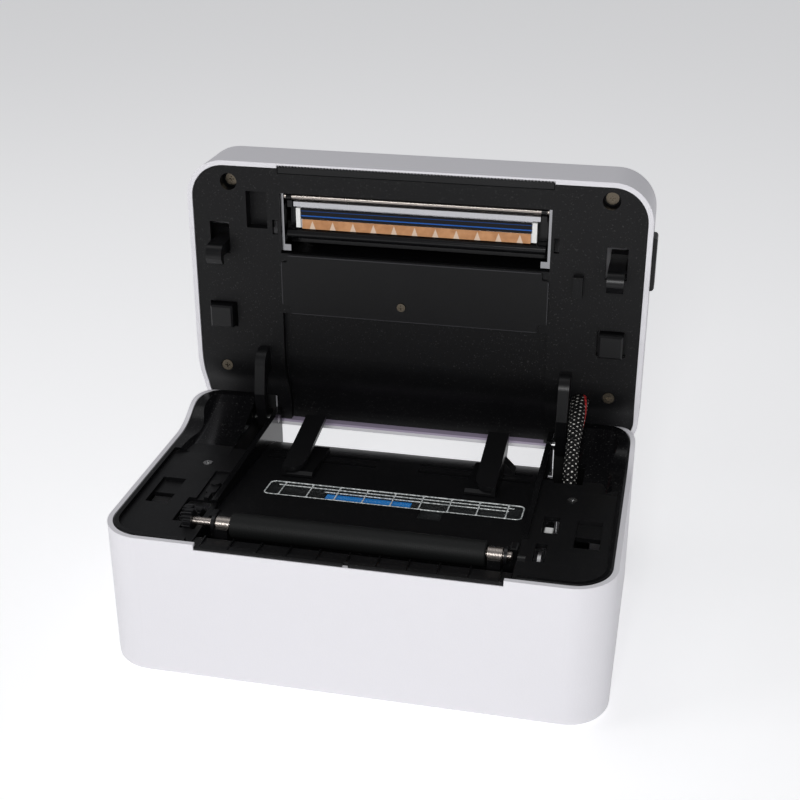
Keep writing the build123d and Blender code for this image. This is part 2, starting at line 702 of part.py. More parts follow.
idler_angle = -35.4
reduction_angle = -77.1
motor_angle = -25.5
platen_centre = (platen_y, platen_z)
idler_centre = mesh_centre(platen_centre, platen_teeth + idler_teeth, gear_module, idler_angle)
reduction_centre = mesh_centre(idler_centre, idler_wheel_teeth + reduction_teeth, gear_module,
                               reduction_angle)
motor_centre = mesh_centre(reduction_centre, reduction_teeth + pinion_teeth, gear_module,
                           motor_angle)
idler_phase = mesh_phase(0, platen_teeth, idler_teeth, idler_angle)
reduction_phase = mesh_phase(0, idler_wheel_teeth, reduction_teeth, reduction_angle)
pinion_phase = mesh_phase(reduction_phase, reduction_teeth, pinion_teeth, motor_angle)
shaft_left = gear_x - gear_width - 0.4

with BuildPart() as platen_shaft:
    cross_rod(platen_shaft_radius, (shaft_left, bush_span / 2 + bush_length / 2 + 3.6),
              platen_y, platen_z)
    chamfer(platen_shaft.edges().filter_by(GeomType.CIRCLE), length=0.4)
platen_shaft.part.label = "platen_shaft"
export_step(platen_shaft.part, "parts/platen_shaft.step")

with BuildPart() as platen_roller:
    cross_rod(roller_radius, (-roller_length / 2, roller_length / 2), platen_y, platen_z)
    chamfer(platen_roller.edges().filter_by(GeomType.CIRCLE), length=0.4)
    cross_rod(platen_shaft_radius, (-roller_length, roller_length), platen_y, platen_z,
              mode=Mode.SUBTRACT)
platen_roller.part.label = "platen_roller"
export_step(platen_roller.part, "parts/platen_roller.step")

with BuildPart() as platen_collars:
    collar_in = bush_span / 2 + bush_length / 2 + 0.3
    cross_rod(bush_radius + 0.3, (collar_in, collar_in + 1.4), platen_y, platen_z)
    cross_rod(platen_shaft_radius, (0, half_width), platen_y, platen_z, mode=Mode.SUBTRACT)
    both_sides()
platen_collars.part.label = "platen_collars"
export_step(platen_collars.part, "parts/platen_collars.step")

with BuildPart() as platen_bushes:
    bush_in = bush_span / 2 - bush_length / 2
    cross_rod(bush_radius, (bush_in, bush_in + bush_length), platen_y, platen_z)
    chamfer(platen_bushes.edges().filter_by(GeomType.CIRCLE), length=0.3)
    cross_rod(platen_shaft_radius + running_gap, (0, half_width), platen_y, platen_z,
              mode=Mode.SUBTRACT)
    both_sides()
platen_bushes.part.label = "platen_bushes"
export_step(platen_bushes.part, "parts/platen_bushes.step")

with BuildPart() as platen_gear:
    with BuildSketch(gear_plane(gear_x, platen_centre)):
        add(gear_shape(platen_teeth, gear_module, platen_shaft_radius))
    extrude(amount=-gear_width)
platen_gear.part.label = "platen_gear"
export_step(platen_gear.part, "parts/platen_gear.step")

with BuildPart() as idler_gear:
    with BuildSketch(gear_plane(gear_x, idler_centre)):
        add(gear_shape(idler_teeth, gear_module, axle_radius + running_gap, idler_phase))
    extrude(amount=-gear_width)
    with BuildSketch(gear_plane(gear_x - gear_width, idler_centre)):
        Circle(gear_hub_radius)
        Circle(axle_radius + running_gap, mode=Mode.SUBTRACT)
    extrude(amount=-gear_step)
    with BuildSketch(gear_plane(wheel_x, idler_centre)):
        add(gear_shape(idler_wheel_teeth, gear_module, axle_radius + running_gap))
    extrude(amount=-gear_width)
idler_gear.part.label = "idler_gear"
export_step(idler_gear.part, "parts/idler_gear.step")

with BuildPart() as reduction_gear:
    with BuildSketch(gear_plane(wheel_x, reduction_centre)):
        add(gear_shape(reduction_teeth, gear_module, axle_radius + running_gap,
                       reduction_phase))
    extrude(amount=-gear_width)
    with BuildSketch(gear_plane(wheel_x + gear_step, reduction_centre)):
        Circle(gear_hub_radius)
        Circle(axle_radius + running_gap, mode=Mode.SUBTRACT)
    extrude(amount=-gear_step)
reduction_gear.part.label = "reduction_gear"
export_step(reduction_gear.part, "parts/reduction_gear.step")

motor_face_x = -(channel_half - 0.3)
bracket_thickness = 1.4
bracket_x = motor_face_x - bracket_thickness
motor_shaft = 1.2

with BuildPart() as motor_pinion:
    with BuildSketch(gear_plane(wheel_x, motor_centre)):
        add(gear_shape(pinion_teeth, gear_module, motor_shaft, pinion_phase))
    extrude(amount=-gear_width)
motor_pinion.part.label = "motor_pinion"
export_step(motor_pinion.part, "parts/motor_pinion.step")

with BuildPart() as motor_shaft_rod:
    cross_rod(motor_shaft, (wheel_x - gear_width, motor_face_x - 0.3), *motor_centre)
motor_shaft_rod.part.label = "motor_shaft"
export_step(motor_shaft_rod.part, "parts/motor_shaft.step")

with BuildPart() as stepper_motor:
    cross_rod(motor_radius, (motor_face_x, motor_face_x + motor_length), *motor_centre)
    fillet(stepper_motor.edges().filter_by(GeomType.CIRCLE), radius=1.2)
    cross_rod(motor_shaft + 0.3, (motor_face_x - 1, motor_face_x + 3), *motor_centre,
              mode=Mode.SUBTRACT)
stepper_motor.part.label = "stepper_motor"
export_step(stepper_motor.part, "parts/stepper_motor.step")

with BuildPart() as motor_bracket:
    plate_low = motor_centre[1] - motor_radius - 2
    plate_high = well - 3
    with BuildSketch(Plane.YZ.offset(bracket_x)):
        with BuildLine():
            Polyline((idler_centre[0] - 8, plate_low), (motor_centre[0] + motor_radius + 2,
                                                        plate_low),
                     (motor_centre[0] + motor_radius + 2, plate_high),
                     (idler_centre[0] - 8, plate_high), (idler_centre[0] - 8, plate_low))
        make_face()
    extrude(amount=bracket_thickness)
    cross_rod(4.0, (bracket_x - 1, motor_face_x + 1), *motor_centre, mode=Mode.SUBTRACT)
    # feet that carry the plate from the floor of the base
    for foot_y in (idler_centre[0] - 4, motor_centre[0] + motor_radius - 2):
        block((bracket_x, bracket_x + 6), (foot_y - 4, foot_y + 4), (plate_low, plate_low + 1.4))
        block((bracket_x, bracket_x + 5), (foot_y - 2.5, foot_y + 2.5),
              (inner_floor + 0.2, plate_low))
motor_bracket.part.label = "motor_bracket"
export_step(motor_bracket.part, "parts/motor_bracket.step")

with BuildPart() as gear_axles:
    cross_rod(axle_radius, (wheel_x - gear_width - 1, -wall_outer - 2), *idler_centre)
    cross_rod(axle_radius, (wheel_x - gear_width - 1, bracket_x), *reduction_centre)
gear_axles.part.label = "gear_axles"
export_step(gear_axles.part, "parts/gear_axles.step")

with BuildPart() as gear_keeper:
    # springy arm over the idler's hub
    keeper_x = (gear_x - gear_width - 0.2, gear_x + 0.9)
    keeper_z = (deck_z - 0.8, deck_z + 0.9)
    block(keeper_x, (keeper_y, keeper_y + 10.5), keeper_z)
    fillet(gear_keeper.edges().filter_by(Axis.Z), radius=1.5)
    block((keeper_x[0] + 1.4, keeper_x[1] - 1.4), (keeper_y - 5.0, keeper_y + 2.5), keeper_z)
    upright_rod(2.2, (keeper_x[0] + keeper_x[1]) / 2, keeper_y + 8.0,
                (keeper_z[1] - 0.1, keeper_z[1] + 0.8))
gear_keeper.part.label = "gear_keeper"
export_step(gear_keeper.part, "parts/gear_keeper.step")

with BuildPart() as bush_clips:
    # black clips that hold the roller bushes down in their saddles
    clip_x = (bush_span / 2 - 3.4, channel_half - 0.5)
    clip_low = parting_z - floor_front_drop + 0.05
    block(clip_x, (platen_y + 5.2, platen_y + 8.6), (clip_low, clip_low + 1.2))
    block((clip_x[1] - 3.0, clip_x[1]), (platen_y + 4.6, platen_y + 10.5),
          (clip_low, clip_low + 1.9))
    chamfer(bush_clips.faces().sort_by(Axis.Z)[-1].edges(), length=0.5)
    both_sides()
bush_clips.part.label = "bush_clips"
export_step(bush_clips.part, "parts/bush_clips.step")

# ---------------------------------------------------------------- paper guides

guide_front_y = hinge_y - 51.0
guide_rear_y = hinge_y - 9.0
guide_top_front = parting_z - 1.2
guide_top_rear = parting_z + 5.5
guide_wall_outer = guide_gap_half + guide_wall
guide_bar_inner = guide_wall_outer - guide_bar_width
stem_x = (guide_gap_half - 6.2, guide_gap_half - 0.8)
rack_top = floor_height(slot_rear_y) - floor_thickness - 1.6
rack_z = (rack_top - 3.0, rack_top)
pinion_pitch = guide_module * guide_pinion_teeth / 2
pinion_y = (slot_front_y + slot_rear_y) / 2


def guide_top(y):
    """Height of the top of a paper guide at a place along the printer."""
    share = (y - guide_front_y) / (guide_rear_y - guide_front_y)
    return guide_top_front + share * (guide_top_rear - guide_top_front)


def floor_above(y):
    """Lowest height that a paper guide may reach over the floor."""
    return floor_height(y) + body_gap


def rack_shape(reach):
    """Toothed bar drawn flat, its pitch line on the X axis and its teeth towards +Y."""
    pitch = guide_module * math.pi
    low = -1.1 * guide_module
    high = 0.55 * guide_module
    back = low - 2.2
    count = int((reach + guide_in_travel) / pitch)
    first = -int(guide_in_travel / pitch) - 1
    corners = [(-stem_x[1], back), (-stem_x[1], stem_half), (-stem_x[0], stem_half),
               (-stem_x[0], low)]
    for tooth in range(first, first + count):
        middle = pitch * (tooth + 0.5)
        corners += [(middle - 0.355 * pitch, low), (middle - 0.155 * pitch, high),
                    (middle + 0.155 * pitch, high), (middle + 0.355 * pitch, low)]
    corners += [(corners[-1][0] + 1, low), (corners[-1][0] + 1, back), corners[0]]
    with BuildSketch() as shape:
        with BuildLine():
            Polyline(*corners)
        make_face()
    return shape.sketch


def guide_solid(rack_y, other_y):
    """Left-hand paper guide above the floor, with its toothed bar in line with rack_y."""
    facing = 1 if rack_y < other_y else -1
    with BuildPart() as guide:
        with BuildSketch(Plane.YZ.offset(-guide_wall_outer)):
            with BuildLine():
                foot_back = slot_rear_y + 3.5
                Polyline((guide_front_y, floor_above(guide_front_y)),
                         (guide_front_y, guide_top(guide_front_y)),
                         (guide_rear_y, guide_top(guide_rear_y)),
                         (guide_rear_y, guide_top(guide_rear_y) - 3.2),
                         (foot_back + 2, floor_above(foot_back + 2) + 1.6),
                         (foot_back, floor_above(foot_back)),
                         (guide_front_y, floor_above(guide_front_y)))
            make_face()
        extrude(amount=guide_wall)
        # overhanging top bar with a rounded front end
        with BuildSketch(Plane.YZ.offset(-guide_wall_outer)):
            with BuildLine():
                Polyline((guide_front_y, guide_top(guide_front_y)),
                         (guide_rear_y, guide_top(guide_rear_y)),
                         (guide_rear_y, guide_top(guide_rear_y) - 2.0),
                         (guide_front_y, guide_top(guide_front_y) - 2.0),
                         (guide_front_y, guide_top(guide_front_y)))
            make_face()
        extrude(amount=guide_bar_width)
        bar_corner = guide.edges().filter_by(Axis.Z).group_by(Axis.Y)[0].group_by(Axis.X)[-1]
        fillet(bar_corner, radius=guide_bar_width * 0.6)
        # foot that runs on the floor
        with BuildSketch(Plane.YZ.offset(-guide_gap_half)):
            with BuildLine():
                Polyline((guide_front_y, floor_above(guide_front_y)),
                         (guide_front_y, floor_above(guide_front_y) + 1.0),
                         (guide_front_y + 1.5, floor_above(guide_front_y) + 2.2),
                         (foot_back, floor_above(foot_back) + 2.2),
                         (foot_back, floor_above(foot_back)),
                         (guide_front_y, floor_above(guide_front_y)))
            make_face()
        extrude(amount=12)
        # outer gusset behind the wall
        with BuildSketch(Plane.XZ.offset(-slot_rear_y)):
            with BuildLine():
                low_edge = floor_above(slot_rear_y) + 0.2
                Polyline((-guide_wall_outer, low_edge), (-guide_wall_outer - 5, low_edge),
                         (-guide_wall_outer - 5, low_edge + 1.4),
                         (-guide_wall_outer, low_edge + 6.5), (-guide_wall_outer, low_edge))
            make_face()
        extrude(amount=3.4, both=True)
        # stems through both floor slots, one of them down to the toothed bar
        for stem_y, low in ((rack_y, rack_z[0]), (other_y, rack_z[1] + 1.0)):
            block((-stem_x[1], -stem_x[0]), (stem_y - stem_half, stem_y + stem_half),
                  (low, floor_above(stem_y) + 1.0))
        rack = rack_shape(guide_out_travel + 3)
        if facing < 0:
            rack = rack.mirror(Plane.XZ)
        with BuildSketch(Plane.XY.offset(rack_z[0])):
            with Locations((0, rack_y)):
                add(rack)
        extrude(amount=rack_z[1] - rack_z[0])
    return guide.part


stem_half = slot_width / 2 - 0.3

with BuildPart() as left_guide:
    add(guide_solid(slot_front_y, slot_rear_y))
left_guide.part.label = "left_guide"
export_step(left_guide.part, "parts/left_guide.step")

with BuildPart() as right_guide:
    add(guide_solid(slot_rear_y, slot_front_y).mirror(Plane.YZ))
right_guide.part.label = "right_guide"
export_step(right_guide.part, "parts/right_guide.step")

with BuildPart() as guide_pinion:
    with BuildSketch(Plane.XY.offset(rack_z[0])):
        with Locations((0, pinion_y)):
            add(gear_shape(guide_pinion_teeth, guide_module, axle_radius + running_gap, 90))
    extrude(amount=rack_z[1] - rack_z[0])
guide_pinion.part.label = "guide_pinion"
export_step(guide_pinion.part, "parts/guide_pinion.step")

with BuildPart() as guide_axle:
    upright_rod(axle_radius, 0, pinion_y,
                (rack_z[0] - 0.8, floor_height(pinion_y) - floor_thickness - 0.2))
    upright_rod(axle_radius + 1.2, 0, pinion_y, (rack_z[0] - 1.6, rack_z[0] - 0.6))
guide_axle.part.label = "guide_axle"
export_step(guide_axle.part, "parts/guide_axle.step")

# ---------------------------------------------------------------- lid housing
# every lid piece is drawn shut over the base and then turned open about the hinge

lid_top_z = lid_edge_z + lid_height
far_up = lid_top_z + 40
plunger_place = (latch_x - 0.3, cove_y - 6.0)
plunger_hole = (13.4, 12.6)
plunger_size = 11.0
plunger_proud = 5.0
plunger_travel = 3.0
hook_width = 7.6
hook_stem = (latch_y - 5.5, latch_y)
hook_nose_y = latch_y + 4.0
hook_gap = 0.4
latch_travel = 4.0
tab_y = (latch_y - 16.5, latch_y + 8.5)
tab_z = (parting_z + 12.0, parting_z + 22.0)
tab_proud = 2.0
latch_slot = ((latch_x - 5.0, latch_x + 4.5), (latch_y - 14.5, latch_y + 0.7))
centre_half = channel_half - 3.0
centre_front_y = cove_y - 8.6
centre_raise = 3.0
head_span_y = (platen_y - 7.0, platen_y + 22.0)
lid_screw_places = ((-half_width + 20.2, front_y + 10.0), (half_width - 18.8, front_y + 8.5))
lid_rear_screws = ((-half_width + 14.4, rise_y + 7.5), (half_width - 14.4, rise_y + 7.5))
boss_bore = 4.0
boss_wall = 1.2
boss_height = 9.0
gear_relief = ((-wall_outer - 10.4, -wall_outer - 0.4), (platen_y - 7.1, platen_y + 10.5))
relief_wall = 1.2
head_window_y = (platen_y + 6.0, platen_y + 13.0)
sensor_tab_x = (wall_outer + 5.2, wall_outer + 9.6)
sensor_tab_y = (latch_y - 0.5, latch_y + 9.5)
lid_cable_hole = (cable_x, hinge_y - 21.3)
lid_cable_radius = 4.4
tear_y = (front_y + 1.2, front_y + 4.6)
tear_half = channel_half - 3.1
ear_middle = wall_outer + 4.2
ear_front = hinge_y - 36.5
spring_post_y = latch_y + 11.5
cover_screw = (-5.2, centre_front_y - 7.8)

with BuildPart() as lid_shell:
    with BuildSketch(Plane.XY.offset(parting_z - 2)):
        RectangleRounded(body_width, body_depth, corner_radius)
    extrude(amount=lid_top_z - parting_z + 2)
    fillet(lid_shell.faces().sort_by(Axis.Z)[-1].edges(), radius=lid_top_round)
    add(outline(body_width - 2 * shell_wall, body_depth - 2 * shell_wall,
                corner_radius - shell_wall, (parting_z - 3, lid_top_z - shell_wall)),
        mode=Mode.SUBTRACT)
    extrude(parting_area(parting_gap, far_up), amount=half_width + 1, both=True,
            mode=Mode.INTERSECT)
    for side in (-1, 1):
        block(sorted((side * (half_width - shell_wall - 1), side * (half_width + 1))),
              (tab_y[0] - latch_travel - 0.6, tab_y[1] + 0.6), (tab_z[0] - 0.4, tab_z[1] + 0.4),
              mode=Mode.SUBTRACT)
    # the front edge is thinned behind the tear strip
    block((-tear_half - 0.6, tear_half + 0.6), (tear_y[0] - 0.3, front_y + shell_wall + 1),
          (parting_z, parting_z + 3.4), mode=Mode.SUBTRACT)
    swing_open(lid_shell)
lid_shell.part.label = "lid_shell"
export_step(lid_shell.part, "parts/lid_shell.step")

with BuildPart() as pan:
    block((-centre_half - 2, centre_half + 2), (centre_front_y - 2, tray_rear),
          (parting_z, far_up - 20))
    extrude(parting_area(plate_shift, far_up), amount=half_width, both=True,
            mode=Mode.INTERSECT)
    extrude(parting_area(plate_shift + centre_raise + plate_thickness, far_up),
            amount=half_width, both=True, mode=Mode.SUBTRACT)

with BuildPart() as pan_space:
    block((-centre_half, centre_half), (centre_front_y, rear_y + 1), (parting_z, far_up))
    extrude(parting_area(plate_shift + centre_raise, far_up), amount=half_width, both=True,
            mode=Mode.SUBTRACT)

with BuildPart() as lid_plate:
    add(outline(tray_width, tray_depth, tray_radius, (parting_z, far_up - 20)))
    extrude(parting_area(plate_shift, far_up), amount=half_width, both=True,
            mode=Mode.INTERSECT)
    extrude(parting_area(plate_shift + plate_thickness, far_up), amount=half_width, both=True,
            mode=Mode.SUBTRACT)
    # the middle behind the head cover is raised to clear the paper and its guides
    add(pan.part)
    add(pan_space.part, mode=Mode.SUBTRACT)
    for screw_x, screw_y in lid_screw_places:
        upright_rod(boss_bore + boss_wall, screw_x, screw_y,
                    (plate_z + 0.1, plate_z + boss_height))
        upright_rod(boss_bore, screw_x, screw_y, (plate_z - 1, plate_z + boss_height - 2),
                    mode=Mode.SUBTRACT)
        upright_rod(1.8, screw_x, screw_y, (plate_z, plate_z + boss_height + 1),
                    mode=Mode.SUBTRACT)
    for screw_x, screw_y in lid_rear_screws:
        seat_z = plate_z + rise_at(screw_y)
        upright_rod(3.2, screw_x, screw_y, (plate_z - 1, seat_z + 1.3), mode=Mode.SUBTRACT)
        upright_rod(1.6, screw_x, screw_y, (plate_z - 1, seat_z + 4), mode=Mode.SUBTRACT)
    for side in (-1, 1):
        block(sorted((side * latch_slot[0][0], side * latch_slot[0][1])), latch_slot[1],
              (plate_z - 1, plate_z + plate_thickness + 1), mode=Mode.SUBTRACT)
        with Locations((side * plunger_place[0], plunger_place[1], plate_z)):
            Box(*plunger_hole, 4 * plate_thickness, mode=Mode.SUBTRACT)
        # small window beside the print head
        block(sorted((side * (head_half + 1.4), side * (head_half + 3.8))), head_window_y,
              (plate_z - 1, plate_z + 4), mode=Mode.SUBTRACT)
    block((-head_half, head_half), head_span_y, (plate_z - 1, plate_z + 4),
          mode=Mode.SUBTRACT)
    # closed pocket over the gear train
    block((gear_relief[0][0] - relief_wall, gear_relief[0][1] + relief_wall),
          (gear_relief[1][0] - relief_wall, gear_relief[1][1] + relief_wall),
          (plate_z + 0.1, plate_z + 6 + relief_wall))
    block(*gear_relief, (plate_z - 1, plate_z + 6), mode=Mode.SUBTRACT)
    # posts that the latch springs push against
    for side in (-1, 1):
        block(sorted((side * (latch_x + 3), side * (latch_x + 9))),
              (spring_post_y, spring_post_y + 2), (plate_z + 0.1, tab_z[1] - 1))
    # tab that works the lid sensor
    block(sensor_tab_x, sensor_tab_y, (parting_z - 2.6, plate_z + 1))
    # opening for the head cable
    with Locations((*lid_cable_hole, parting_z + 5)):
        Cylinder(lid_cable_radius, 20, mode=Mode.SUBTRACT)
    block((-tear_half - 0.4, tear_half + 0.4), (front_y, tear_y[1] + 0.3),
          (plate_z - 1, plate_z + 1.2), mode=Mode.SUBTRACT)
    swing_open(lid_plate)
lid_plate.part.label = "lid_plate"
export_step(lid_plate.part, "parts/lid_plate.step")

with BuildPart() as tear_bar:
    with BuildSketch(Plane.XY.offset(plate_z)):
        with BuildLine():
            teeth = 84
            tooth = 2 * tear_half / teeth
            saw = [(-tear_half, tear_y[1])]
            for index in range(teeth):
                saw += [(-tear_half + index * tooth, tear_y[0] + 0.9),
                        (-tear_half + (index + 0.5) * tooth, tear_y[0])]
            saw += [(tear_half, tear_y[0] + 0.9), (tear_half, tear_y[1]), saw[0]]
            Polyline(*saw)
        make_face()
    extrude(amount=1.1)
    swing_open(tear_bar)
tear_bar.part.label = "tear_bar"
export_step(tear_bar.part, "parts/tear_bar.step")

with BuildPart() as head_cover:
    with BuildSketch(Plane.XY.offset(plate_z - 1.3)):
        with Locations((0, (head_span_y[1] + centre_front_y) / 2)):
            Rectangle(2 * centre_half - 0.6, centre_front_y - head_span_y[1] - 0.9)
        with Locations((-centre_half, centre_front_y), (centre_half, centre_front_y)):
            Rectangle(9, 9, mode=Mode.SUBTRACT)
        with Locations((-centre_half, head_span_y[1]), (centre_half, head_span_y[1])):
            Rectangle(7, 8, mode=Mode.SUBTRACT)
    extrude(amount=1.3)
    fillet(head_cover.edges().filter_by(Axis.Z), radius=1.0)
    upright_rod(3.0, *cover_screw, (plate_z - 0.9, plate_z + 1), mode=Mode.SUBTRACT)
    upright_rod(3.0, *cover_screw, (plate_z - 0.9, plate_z))
    upright_rod(2.2, *cover_screw, (plate_z - 2, plate_z - 0.9), mode=Mode.SUBTRACT)
    upright_rod(1.4, *cover_screw, (plate_z - 2, plate_z + 1), mode=Mode.SUBTRACT)
    swing_open(head_cover)
head_cover.part.label = "head_cover"
export_step(head_cover.part, "parts/head_cover.step")


def pan_screw(x, y, under_z, head_radius, head_height):
    """Cross-head screw driven upwards, its head below under_z."""
    upright_rod(head_radius, x, y, (under_z - head_height, under_z))
    upright_rod(1.3, x, y, (under_z - 0.1, under_z + 0.8))
    for size in ((2.4, 0.6), (0.6, 2.4)):
        with Locations((x, y, under_z - head_height)):
            Box(*size, 1.2, mode=Mode.SUBTRACT)


with BuildPart() as lid_screws:
    for screw_x, screw_y in lid_screw_places:
        pan_screw(screw_x, screw_y, plate_z + boss_height - 2.1, 2.9, 1.8)
    for screw_x, screw_y in lid_rear_screws:
        pan_screw(screw_x, screw_y, plate_z + rise_at(screw_y) + 1.2, 2.7, 1.2)
    pan_screw(*cover_screw, plate_z - 1.0, 2.0, 0.7)
    swing_open(lid_screws)
lid_screws.part.label = "lid_screws"
export_step(lid_screws.part, "parts/lid_screws.step")

with BuildPart() as hinge_ears:
    with BuildSketch(Plane.YZ.offset(ear_middle - ear_thickness / 2)):
        with BuildLine():
            crown = ThreePointArc((ear_front, parting_z - 1.5),
                                  (ear_front + 2.1, parting_z - 6.0),
                                  (ear_front + 7.5, parting_z - 8.6))
            Polyline((ear_front, parting_z - 1.5), (ear_front, parting_z + 12),
                     (ear_front + 12.5, parting_z + 12), (ear_front + 12.5, parting_z - 4.5),
                     (hinge_y - 16, parting_z - 6.6), (hinge_y - 8, parting_z - 6.0),
                     (hinge_y - 2.5, hinge_z + 4.2), (hinge_y, hinge_z - 5.0),
                     (hinge_y - 8, parting_z - 10.0), (hinge_y - 16, parting_z - 11.0),
                     crown @ 1)
        make_face()
        with Locations((hinge_y, hinge_z)):
            Circle(5.0)
            Circle(hinge_pin_radius + running_gap, mode=Mode.SUBTRACT)
    extrude(amount=ear_thickness)
    extrude(parting_area(plate_shift, 0), amount=half_width, both=True, mode=Mode.INTERSECT)
    both_sides()
    swing_open(hinge_ears)
hinge_ears.part.label = "hinge_ears"
export_step(hinge_ears.part, "parts/hinge_ears.step")

# ---------------------------------------------------------------- latches and plungers

with BuildPart() as latch_tab:
    block((-half_width - tab_proud, -half_width + shell_wall - 0.4), tab_y, tab_z)
    fillet(latch_tab.edges().group_by(Axis.X)[0], radius=1.4)

with BuildPart() as left_latch:
    ledge_under = deck_z - latch_ledge_drop - ledge_thickness
    nose_top = ledge_under - hook_gap
    with BuildSketch(Plane.YZ.offset(-latch_x - hook_width / 2)):
        with BuildLine():
            Line((hook_stem[0], parting_z + 16), (hook_stem[0], nose_top + 1.6))
            curl = ThreePointArc((hook_stem[0], nose_top + 1.6),
                                 (hook_stem[0] + 1.9, nose_top - 2.5),
                                 (hook_stem[0] + 6.2, nose_top - 3.6))
            Polyline(curl @ 1, (hook_nose_y - 0.6, nose_top - 2.2),
                     (hook_nose_y, nose_top - 1.4), (hook_nose_y, nose_top),
                     (hook_stem[1], nose_top), (hook_stem[1], parting_z + 16),
                     (hook_stem[0], parting_z + 16))
        make_face()
    extrude(amount=hook_width)
    # arm inside the lid and the release tab outside it
    block((-half_width - tab_proud + 1, -latch_x + hook_width / 2),
          (hook_stem[0] - 2, hook_stem[1]), (tab_z[0] + 1.5, tab_z[1] - 1.5))
    add(latch_tab.part)
    swing_open(left_latch)
left_latch.part.label = "left_latch"
export_step(left_latch.part, "parts/left_latch.step")

with BuildPart() as right_latch:
    add(left_latch.part.mirror(Plane.YZ))
right_latch.part.label = "right_latch"
export_step(right_latch.part, "parts/right_latch.step")

with BuildPart() as left_plunger:
    low = plate_z - plunger_proud
    with Locations((-plunger_place[0], plunger_place[1], (low + plate_z + 6) / 2)):
        Box(plunger_size, plunger_size, plate_z + 6 - low)
    chamfer(left_plunger.faces().sort_by(Axis.Z)[0].edges(), length=0.8)
    with Locations((-plunger_place[0], plunger_place[1], plate_z + plate_thickness + 2)):
        Box(plunger_size + 4, plunger_size + 4, 2)
    swing_open(left_plunger)
left_plunger.part.label = "left_plunger"
export_step(left_plunger.part, "parts/left_plunger.step")

with BuildPart() as right_plunger:
    add(left_plunger.part.mirror(Plane.YZ))
right_plunger.part.label = "right_plunger"
export_step(right_plunger.part, "parts/right_plunger.step")

# ---------------------------------------------------------------- print head

head_z = platen_top + head_gap
ceramic_thickness = 1.0
rod_radius = 1.5
rod_y = platen_y - 4.7
rod_z = head_z + 0.7
sink_y = (platen_y - 2.5, platen_y + 10.5)
sink_z = (head_z + ceramic_thickness, head_z + 6.4)
bracket_low = platen_z + bush_radius + 1.0
mount_half = channel_half - 5.9
arm_x = (mount_half - 2.4, mount_half)
sink_half = channel_half - 12.3
pressure_spring_x = 32.0
arm_wall = 0.5
head_roof_z = parting_z + 28.0

with BuildPart() as head_rod:
    cross_rod(rod_radius, (0.2 - head_half, head_half - 0.2), rod_y, rod_z)
    chamfer(head_rod.edges().filter_by(GeomType.CIRCLE), length=0.3)
    swing_open(head_rod)
head_rod.part.label = "head_rod"
export_step(head_rod.part, "parts/head_rod.step")

with BuildPart() as head_brackets:
    block((head_half - 4.4, head_half - 0.2), (head_span_y[1] - 4.0, head_span_y[1] - 1),
          (bracket_low, bracket_low + 1.0))
    block((head_half - 1.4, head_half - 0.2), (head_span_y[0] + 0.2, head_span_y[1] - 1),
          (bracket_low, head_roof_z - 1.3))
    cross_rod(rod_radius + running_gap, (head_half - 6, head_half + 1), rod_y, rod_z,
              mode=Mode.SUBTRACT)
    both_sides()
    swing_open(head_brackets)
head_brackets.part.label = "head_brackets"
export_step(head_brackets.part, "parts/head_brackets.step")

with BuildPart() as heat_sink:
    block((-sink_half, sink_half), sink_y, sink_z)
    block((-sink_half - 3.5, sink_half + 3.5), (sink_y[0], sink_y[0] + 3), sink_z)
    chamfer(heat_sink.edges().filter_by(Axis.X), length=0.4)
    swing_open(heat_sink)
heat_sink.part.label = "heat_sink"
export_step(heat_sink.part, "parts/heat_sink.step")

with BuildPart() as head_ceramic:
    block((0.2 - sink_half, sink_half - 0.2), (sink_y[0] + 3.0, sink_y[0] + 8.2),
          (head_z, sink_z[0]))
    chamfer(head_ceramic.edges().filter_by(Axis.X).group_by(Axis.Z)[0], length=0.3)
    swing_open(head_ceramic)
head_ceramic.part.label = "head_ceramic"
export_step(head_ceramic.part, "parts/head_ceramic.step")

with BuildPart() as head_flex:
    block((0.6 - sink_half, sink_half - 0.6), (sink_y[0] + 8.5, sink_y[1]),
          (sink_z[0] - 0.4, sink_z[0]))
    swing_open(head_flex)
head_flex.part.label = "head_flex"
export_step(head_flex.part, "parts/head_flex.step")

with BuildPart() as head_end_caps:
    block((sink_half + 0.1, sink_half + 2.2), (sink_y[0] + 3.2, sink_y[1] - 0.6),
          (sink_z[0] - 0.8, sink_z[0] + 2))
    both_sides()
    swing_open(head_end_caps)
head_end_caps.part.label = "head_end_caps"
export_step(head_end_caps.part, "parts/head_end_caps.step")

with BuildPart() as head_mount:
    block((-mount_half, mount_half), (sink_y[0] - 1, head_span_y[1] - 3),
          (sink_z[1], sink_z[1] + 3))
    # rounded lip behind the heat sink
    with BuildSketch(Plane.YZ.offset(-mount_half)):
        with Locations((sink_y[1] + 2.6, (head_z - 1.2 + sink_z[1] + 1) / 2)):
            RectangleRounded(4.4, sink_z[1] + 2.2 - head_z, 2.1)
    extrude(amount=2 * mount_half)
    # arms down to the pivot rod
    for side in (-1, 1):
        arm = sorted((side * arm_x[0], side * arm_x[1]))
        block(arm, (rod_y - arm_wall - rod_radius, sink_y[0] + 3), (rod_z, sink_z[1] + 3))
        cross_rod(rod_radius + arm_wall, arm, rod_y, rod_z)
        cross_rod(rod_radius + running_gap, (arm[0] - 1, arm[1] + 1), rod_y, rod_z,
                  mode=Mode.SUBTRACT)
    # cups for the pressure springs
    for spring_x in (-pressure_spring_x, pressure_spring_x):
        upright_rod(5.4, spring_x, platen_y + 5, (sink_z[1] + 2.9, sink_z[1] + 4.4))
        upright_rod(4.0, spring_x, platen_y + 5, (sink_z[1] + 3, sink_z[1] + 5),
                    mode=Mode.SUBTRACT)
    swing_open(head_mount)
head_mount.part.label = "head_mount"
export_step(head_mount.part, "parts/head_mount.step")

cable_radius = 2.8

